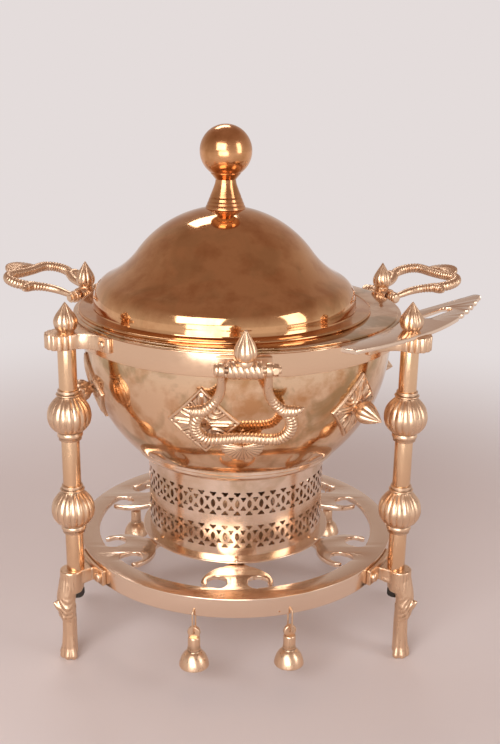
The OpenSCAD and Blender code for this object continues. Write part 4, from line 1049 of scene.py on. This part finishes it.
neck = sawn_plate([[(-20.6, -9), (0, -7.2), (0, 7.2), (-20.6, 9)]], 9, 1.4)
back_plate = curved_plate(BAND_R + 0.1, BAND_R + 3, -13, 4, 8.4, 0.9)
post = lathe([(0, 3), (6.6, 3), (7.4, 5.2, 1.0), (7.4, 7.9, 0.5), (0, 7.9)], 48)
holder = together(placed(back_plate, 0, -HANDLE_R), neck, ribbed_barrel(BARREL, BARREL_RIBS), post)
for i, a in enumerate(HANDLE_ANGLES, 1):
    settle(f"cast_handle_bracket_{i}", placed(holder, a, HANDLE_R, PIVOT_Z), cast_brass, "stand",
           f"handle_{i}_bracket", sharp=50)

through_bolt = lathe([(0, -28), (2.4, -28), (2.95, -27.4, 0.3), (2.95, REACH), (5.4, REACH + 0.02, 0.3),
                      (5.3, REACH + 1.6, 0.8), (4.0, REACH + 3.2, 1.2), (0, REACH + 3.5)], 40)
through_bolt = tipped(together(through_bolt, moved(hex_nut(9, 4.6, 2.9), 0, 0, -REACH - 4.6)), "X", 90)
through_bolts = ring_of(through_bolt, HANDLE_ANGLES, HANDLE_R, PIVOT_Z)
settle("handle_through_bolts", through_bolts, cast_brass, "stand", "handle_bolts")

# %% [markdown]
# A bail is rope-twisted brass: plain straps at the eyes, then ribs that wind round the rod, two
# spikes that curl outward and a ribbed shell under the grip. A rope is a profile swept along a path,
# so a tree sweeps it: thickness and rib depth are attributes on the path, and a wave of the length
# along it plus the turn around it sinks the grooves.

# %% Rope tree and bails
rope_tree, given = new_tree("rope", ("Pitch", "Float"), ("Depth", "Float"), ("Sides", "Int"),
                            ("Finish", "Material"))
path = add(rope_tree, "GeometryNodeMeshToCurve", [given["Geometry"]])
ring = add(rope_tree, "GeometryNodeCurvePrimitiveCircle", {"Resolution": given["Sides"], "Radius": 1.0})
# The path keeps its length so far, and the ring its share of a turn, for the wave to read.
kept = []
for curve, name, measure in ((path, "along", "Length"), (ring, "round", "Factor")):
    value = add(rope_tree, "GeometryNodeSplineParameter").outputs[measure]
    kept.append(add(rope_tree, "GeometryNodeStoreNamedAttribute",
                    {"Geometry": curve, "Name": name, "Value": value}, domain="POINT"))
thick, along, around = [
    add(rope_tree, "GeometryNodeInputNamedAttribute", {"Name": name}, data_type="FLOAT")
    for name in ("thick", "along", "round")
]
swept = add(rope_tree, "GeometryNodeCurveToMesh",
            {"Curve": kept[0], "Profile Curve": kept[1], "Scale": thick, "Fill Caps": True})
lays = add(rope_tree, "ShaderNodeMath", [along, given["Pitch"]], operation="DIVIDE")
turns = add(rope_tree, "ShaderNodeMath", [lays, around], operation="ADD")
phase = add(rope_tree, "ShaderNodeMath", [turns, math.pi], operation="MULTIPLY")
outward = add(rope_tree, "GeometryNodeInputNormal")
file_grooves(rope_tree, given, swept, outward, phase, "ribbed")


def rope(knots, pitch, depth, sides=28, closed=False, step=0.3):
    line = through(knots, step)
    mesh = bpy.data.meshes.new("path")
    edges = [(i, i + 1) for i in range(len(line) - 1)] + ([(len(line) - 1, 0)] if closed else [])
    mesh.from_pydata((line[:, :3] * MM).tolist(), edges, [])
    for name, values in (("thick", line[:, 3] * MM), ("ribbed", np.clip(line[:, 4], 0, 1))):
        mesh.attributes.new(name, "FLOAT", "POINT").data.foreach_set("value", values.astype(np.float32))
    swept = run_tree(rope_tree, mesh, pitch=pitch * MM, depth=depth * MM, sides=sides, finish=cast_brass)
    return shape_of(swept)


SHELL_R, SHELL_AT, SHELL_EDGE, SHELL_DOME, SHELL_FOLD = 18.6, -1.06, 1.5, 2.9, 0.045


def shell(radius, low, ribs=17, steps=252, rows=26):
    t = np.radians(np.linspace(-196, 16, steps))
    fold = 1 - np.abs(np.sin(np.linspace(0, math.pi * ribs, steps)))
    reach = np.linspace(0.02, 1, rows)
    lines = []
    for side, order in ((1, reach), (-1, reach[::-1])):
        for f in order:
            r = radius * f * (1 - SHELL_FOLD * fold * f)
            dome = SHELL_EDGE + SHELL_DOME * (1 - f ** 2.4) ** 0.7 - fold * f * (1 - f ** 8)
            lines.append(np.stack([side * dome, r * np.cos(t), low + r * np.sin(t)], -1))
    points, faces = skin(lines, wrap=False)
    index = np.arange(len(points)).reshape(-1, steps).tolist()
    ends = [tuple(row[0] for row in index), tuple(row[-1] for row in index)[::-1]]
    first, last = index[0], index[-1]
    return points, faces + ends + [(last[j], last[j + 1], first[j + 1], first[j]) for j in range(steps - 1)]


DEEP, WIDTH, EYE, LAY, ROPE_DEEP, SPIKE_DEEP = 76.0, 39.0, 18.5, 3.2, 0.8, 0.6
FRONT_LEAN, REAR_RAISE = -24, 101
# Across, down as a share of the depth, thickness, share of the ribs.
arm = [(EYE, -4.0 / DEEP, 2.7, 0), (EYE, -0.16, 3.3, 0), (EYE, -0.27, 3.7, 0),
       (EYE + 2.2, -0.38, 4.0, 0.3), (EYE + 7.0, -0.49, 4.4, 1), (WIDTH - 5, -0.60, 4.9, 1),
       (WIDTH, -0.74, 5.1, 1), (WIDTH - 1.6, -0.89, 5.1, 1), (WIDTH - 9, -0.985, 5.1, 1),
       (WIDTH - 18, -1.0, 5.0, 1), (WIDTH - 30, -0.985, 4.9, 1)]
spike = [(EYE + 6.5, -0.485, 3.4, 1), (WIDTH - 8, -0.565, 4.9, 1), (WIDTH, -0.58, 4.9, 1),
         (WIDTH + 5, -0.565, 3.3, 0.8), (WIDTH + 9.5, -0.53, 0.8, 0)]


def in_bail(knots, side):
    return [(0, side * y, z * DEEP, thick, ribbed) for y, z, thick, ribbed in knots]


loop = in_bail(arm + [(0, -0.98, 4.8, 1)], 1) + in_bail(arm[::-1], -1)
eye = [(3.1, -2.5), (5.6, -2.5, 0.5), (6.0, -1.6, 0.4), (6.0, 1.6, 0.4), (5.6, 2.5, 0.5), (3.1, 2.5)]
eye = tipped(lathe(eye, 40, closed=True), "X", 90)
bail_parts = [rope(loop, LAY, ROPE_DEEP), shell(SHELL_R, SHELL_AT * DEEP)]
for s in (-1, 1):
    bail_parts += [rope(in_bail(spike, s), LAY, SPIKE_DEEP, sides=24), moved(eye, 0, s * EYE, 0)]
bail = together(*bail_parts)
for i, (a, raised) in enumerate(zip(HANDLE_ANGLES, (FRONT_LEAN, REAR_RAISE, REAR_RAISE)), 1):
    turned = placed(tipped(bail, "Y", -raised), a, HANDLE_R, PIVOT_Z)
    settle(f"rope_bail_{i}", turned, cast_brass, f"bail_{i}", f"handle_{i}_bail", sharp=60)

# %% [markdown]
# ## Ladle rest
# A flat plate under the front right finial follows the ring. Its outer edge has five scallops, its end
# is round and a slot holds the ladle's stem. The casting is a little thicker than its solid.

# %% Ladle rest
REST, REST_TAIL, REST_CAST, REST_TIP, REST_BEND = 146.0, -82, 3.8, 4.5, 4.0
EDGE_R, EDGE_MIDDLE, EDGE_AT = 363.5, REST * 0.58, 340
SCALLOPS, SCALLOP_R = [(REST * (0.46 + 0.11 * k), -27.5 + 0.5 * k) for k in range(5)], 6.6
SLOT_X, SLOT_Y, SLOT_LONG, SLOT_R, SLOT_TURN = 49.64, 4, 35.04, 5, -14
edge = []
for u in np.linspace(REST_TAIL, REST - REST_TIP, 300):
    v = EDGE_AT - math.sqrt(EDGE_R ** 2 - (u - EDGE_MIDDLE) ** 2)
    for middle, out in SCALLOPS:
        if abs(u - middle) < SCALLOP_R:
            v = max(v, out + math.sqrt(SCALLOP_R ** 2 - (u - middle) ** 2))
    edge.append((u, v))
inner = [(u, LEG_R - math.sqrt((BAND_R + 1.6) ** 2 - u ** 2)) for u in np.linspace(46.5, -70, 60)]
outline = edge + arc(REST - REST_TIP, -15.2, REST_TIP, -80, 67, 16) + inner + [(REST_TAIL, 30)]
c, s = polar(1, SLOT_TURN)
slot = [(SLOT_X + x * c - y * s, SLOT_Y + x * s + y * c)
        for x, y in arc(0, 0, SLOT_R, 90, 270, 20) + arc(SLOT_LONG, 0, SLOT_R, -90, 90, 20)]
points, faces = sawn_plate([[(-v, u) for u, v in line] for line in (outline, slot)], REST_CAST, 0.8)
# The free end is thicker, and has been bent up a little in use.
free = np.clip((points[:, 1] - 16) / (REST - 16), 0, 1)
points[:, 2] = points[:, 2] * (1 + 0.25 * free) + REST_BEND * free ** 1.3
rest = placed((points, faces), LEG_ANGLES[1], LEG_R, BRACKET_TOP + REST_THICK / 2)
settle("sawn_ladle_rest", rest, plate_brass, "stand", "ladle_rest")

# %% [markdown]
# ## Bells
# Six bells hang in pairs from wire loops in the skirt. Each has a flat eye, a straight neck with a
# collar and a wide mouth that is open below. The clappers inside keep their CAD solids.

# %% Bells
BELL_TALL, MOUTH, WIRE, LINK, LINK_HALF, LINK_CORNER = 32.5, 13.2, 0.8, 22.0, 4.9, 2.0
neck = [(0, -4.2), (4.6, -4.3), (5.2, -4.8), (5.4, -5.6), (5.4, -15.4), (5.8, -15.6), (5.8, -16.4),
        (5.4, -16.6), (5.4, -17.6)]
flare = through([(5.6, -18.2), (7.6, -19.8), (10.2, -23.0), (12.0, -27.0), (13.0, -30.8), (MOUTH, -32.0)],
                0.7)
lip = [(13.0, -32.4), (12.6, -BELL_TALL), (11.8, -BELL_TALL), (11.6, -32.1)]
hollow = through([(11.4, -30.8), (10.3, -27.0), (8.4, -23.6), (6.0, -21.2), (4.2, -19.6), (3.6, -18.0)], 0.7)
body = lathe(neck + flare.tolist() + lip + hollow.tolist() + [(3.2, -17.3), (0, -17.2)], 56)
ear = [(BORE, -1.9), (5.1, -1.9, 0.3), (5.6, -1.4, 0.3), (5.6, 1.4, 0.3), (5.1, 1.9, 0.3), (BORE, 1.9)]
ear = tipped(lathe(ear, 32, closed=True), "Y", 90)
pin = moved(tipped(lathe([(0, -7), (0.6, -7), (0.6, 7), (0, 7)], 12), "Y", 90), 0, 0, MOUTH - BELL_TALL - 1.2)
bell = together(body, ear, pin)
side, low = LINK_HALF - LINK_CORNER, LINK_CORNER - LINK
turns = ((side, -LINK_CORNER, 90), (side, low, 0), (-side, low, -90), (-side, -LINK_CORNER, 180))
knots = [(x, 0, z, WIRE, 0) for cx, cz, a in turns for x, z in arc(cx, cz, LINK_CORNER, a, a - 90, 6)]
link = rope(knots + [(0, 0, 0, WIRE, 0)], 1.0, 0.0, sides=12, closed=True, step=0.6)
for i, a in enumerate(BELL_ANGLES, 1):
    hung, loop = placed(bell, a, BELL_R, BELL_HOLE - LINK), placed(link, a, BELL_R, BELL_HOLE)
    settle(f"cast_bell_{i}", hung, cast_brass, f"bell_{i}", f"bell_{i}_body")
    settle(f"wire_link_{i}", loop, cast_brass, f"bell_{i}_link", f"bell_{i}_link", sharp=80)
    keep_solid(f"bell_{i}_clapper", cast_brass)

# %% [markdown]
# ## Floor and light
# The dish stands on a plain pale floor under four soft boxes: a large one left of the camera, a
# weaker one on the right, one high behind and a low one in front. Near the dish the floor takes light
# and shadow; far away the camera and the brass see it in its own pale colour, so no horizon shows.
# For other rays the world is a room that grows from warm grey low down to a darker grey above.

# %% Floor, world and lamps
PALE, FLOOR_GREY, ROOM_LOW, ROOM_HIGH = "#E4DCDB", "#DCD3D2", "#D8CECA", "#A4887A"
FLOOR_HALF, FADE_NEAR, FADE_FAR, AIM_AT = 6, 0.35, 1.1, Vector((0, 0, 0.22))
floor_paint = bpy.data.materials.new("matte pale floor")
floor_paint.use_nodes = True
paint = floor_paint.node_tree
paint.nodes.clear()
matte = add(paint, "ShaderNodeBsdfPrincipled",
            {"Base Color": linear(FLOOR_GREY), "Roughness": 0.9, "Specular IOR Level": 0.1})
place = add(paint, "ShaderNodeTexCoord").outputs["Object"]
far = add(paint, "ShaderNodeVectorMath", [place], operation="LENGTH").outputs["Value"]
fade = add(paint, "ShaderNodeMapRange", [far, FADE_NEAR, FADE_FAR, 0.0, 1.0], interpolation_type="SMOOTHSTEP")
ray = add(paint, "ShaderNodeLightPath").outputs
seen = add(paint, "ShaderNodeMath", [ray["Is Camera Ray"], ray["Is Glossy Ray"]], operation="MAXIMUM")
seen = add(paint, "ShaderNodeMath", [seen, ray["Is Transmission Ray"]], operation="MAXIMUM")
share = add(paint, "ShaderNodeMath", [fade, seen], operation="MULTIPLY")
plain = add(paint, "ShaderNodeEmission", {"Color": linear(PALE), "Strength": 1.0})
mixed = add(paint, "ShaderNodeMixShader", [share, matte, plain])
add(paint, "ShaderNodeOutputMaterial", [mixed])
floor = linked("floor", bpy.data.meshes.new("floor"))
square = [(x * FLOOR_HALF, y * FLOOR_HALF, 0) for x, y in ((-1, -1), (1, -1), (1, 1), (-1, 1))]
floor.data.from_pydata(square, [], [(0, 1, 2, 3)])
floor.data.materials.append(floor_paint)

world = bpy.data.worlds.new("studio")
bpy.context.scene.world = world
world.use_nodes = True
sky = world.node_tree
sky.nodes.clear()
direction = add(sky, "ShaderNodeTexCoord").outputs["Generated"]
height = add(sky, "ShaderNodeSeparateXYZ", [direction]).outputs["Z"]
shade = add(sky, "ShaderNodeValToRGB", [height])
for element, position, code in zip(shade.color_ramp.elements, (0.0, 0.75), (ROOM_LOW, ROOM_HIGH)):
    element.position = position
    element.color = linear(code)
room = add(sky, "ShaderNodeBackground", {"Color": shade, "Strength": 0.9})
pale = add(sky, "ShaderNodeBackground", {"Color": linear(PALE), "Strength": 1.0})
direct = add(sky, "ShaderNodeLightPath").outputs["Is Camera Ray"]
add(sky, "ShaderNodeOutputWorld", [add(sky, "ShaderNodeMixShader", [direct, room, pale])])


def softbox(name, place, size, power):
    lamp = bpy.data.lights.new(name, "AREA")
    lamp.shape = "RECTANGLE"
    lamp.size, lamp.size_y = size
    lamp.energy = power
    aim = (AIM_AT - Vector(place)).to_track_quat("-Z", "Y").to_matrix().to_4x4()
    linked(name, lamp).matrix_world = Matrix.Translation(Vector(place)) @ aim


softbox("key", (-0.75, -1.85, 1.2), (1.5, 1.1), 28)
softbox("fill", (1.8, -1.0, 0.9), (0.7, 1.4), 10)
softbox("rear", (-0.3, 1.7, 2.3), (1.2, 0.6), 14)
softbox("low", (-0.3, -1.5, 0.25), (1.1, 0.5), 7)
bpy.context.scene.view_settings.view_transform = "Standard"
print("floor, world and four soft boxes")
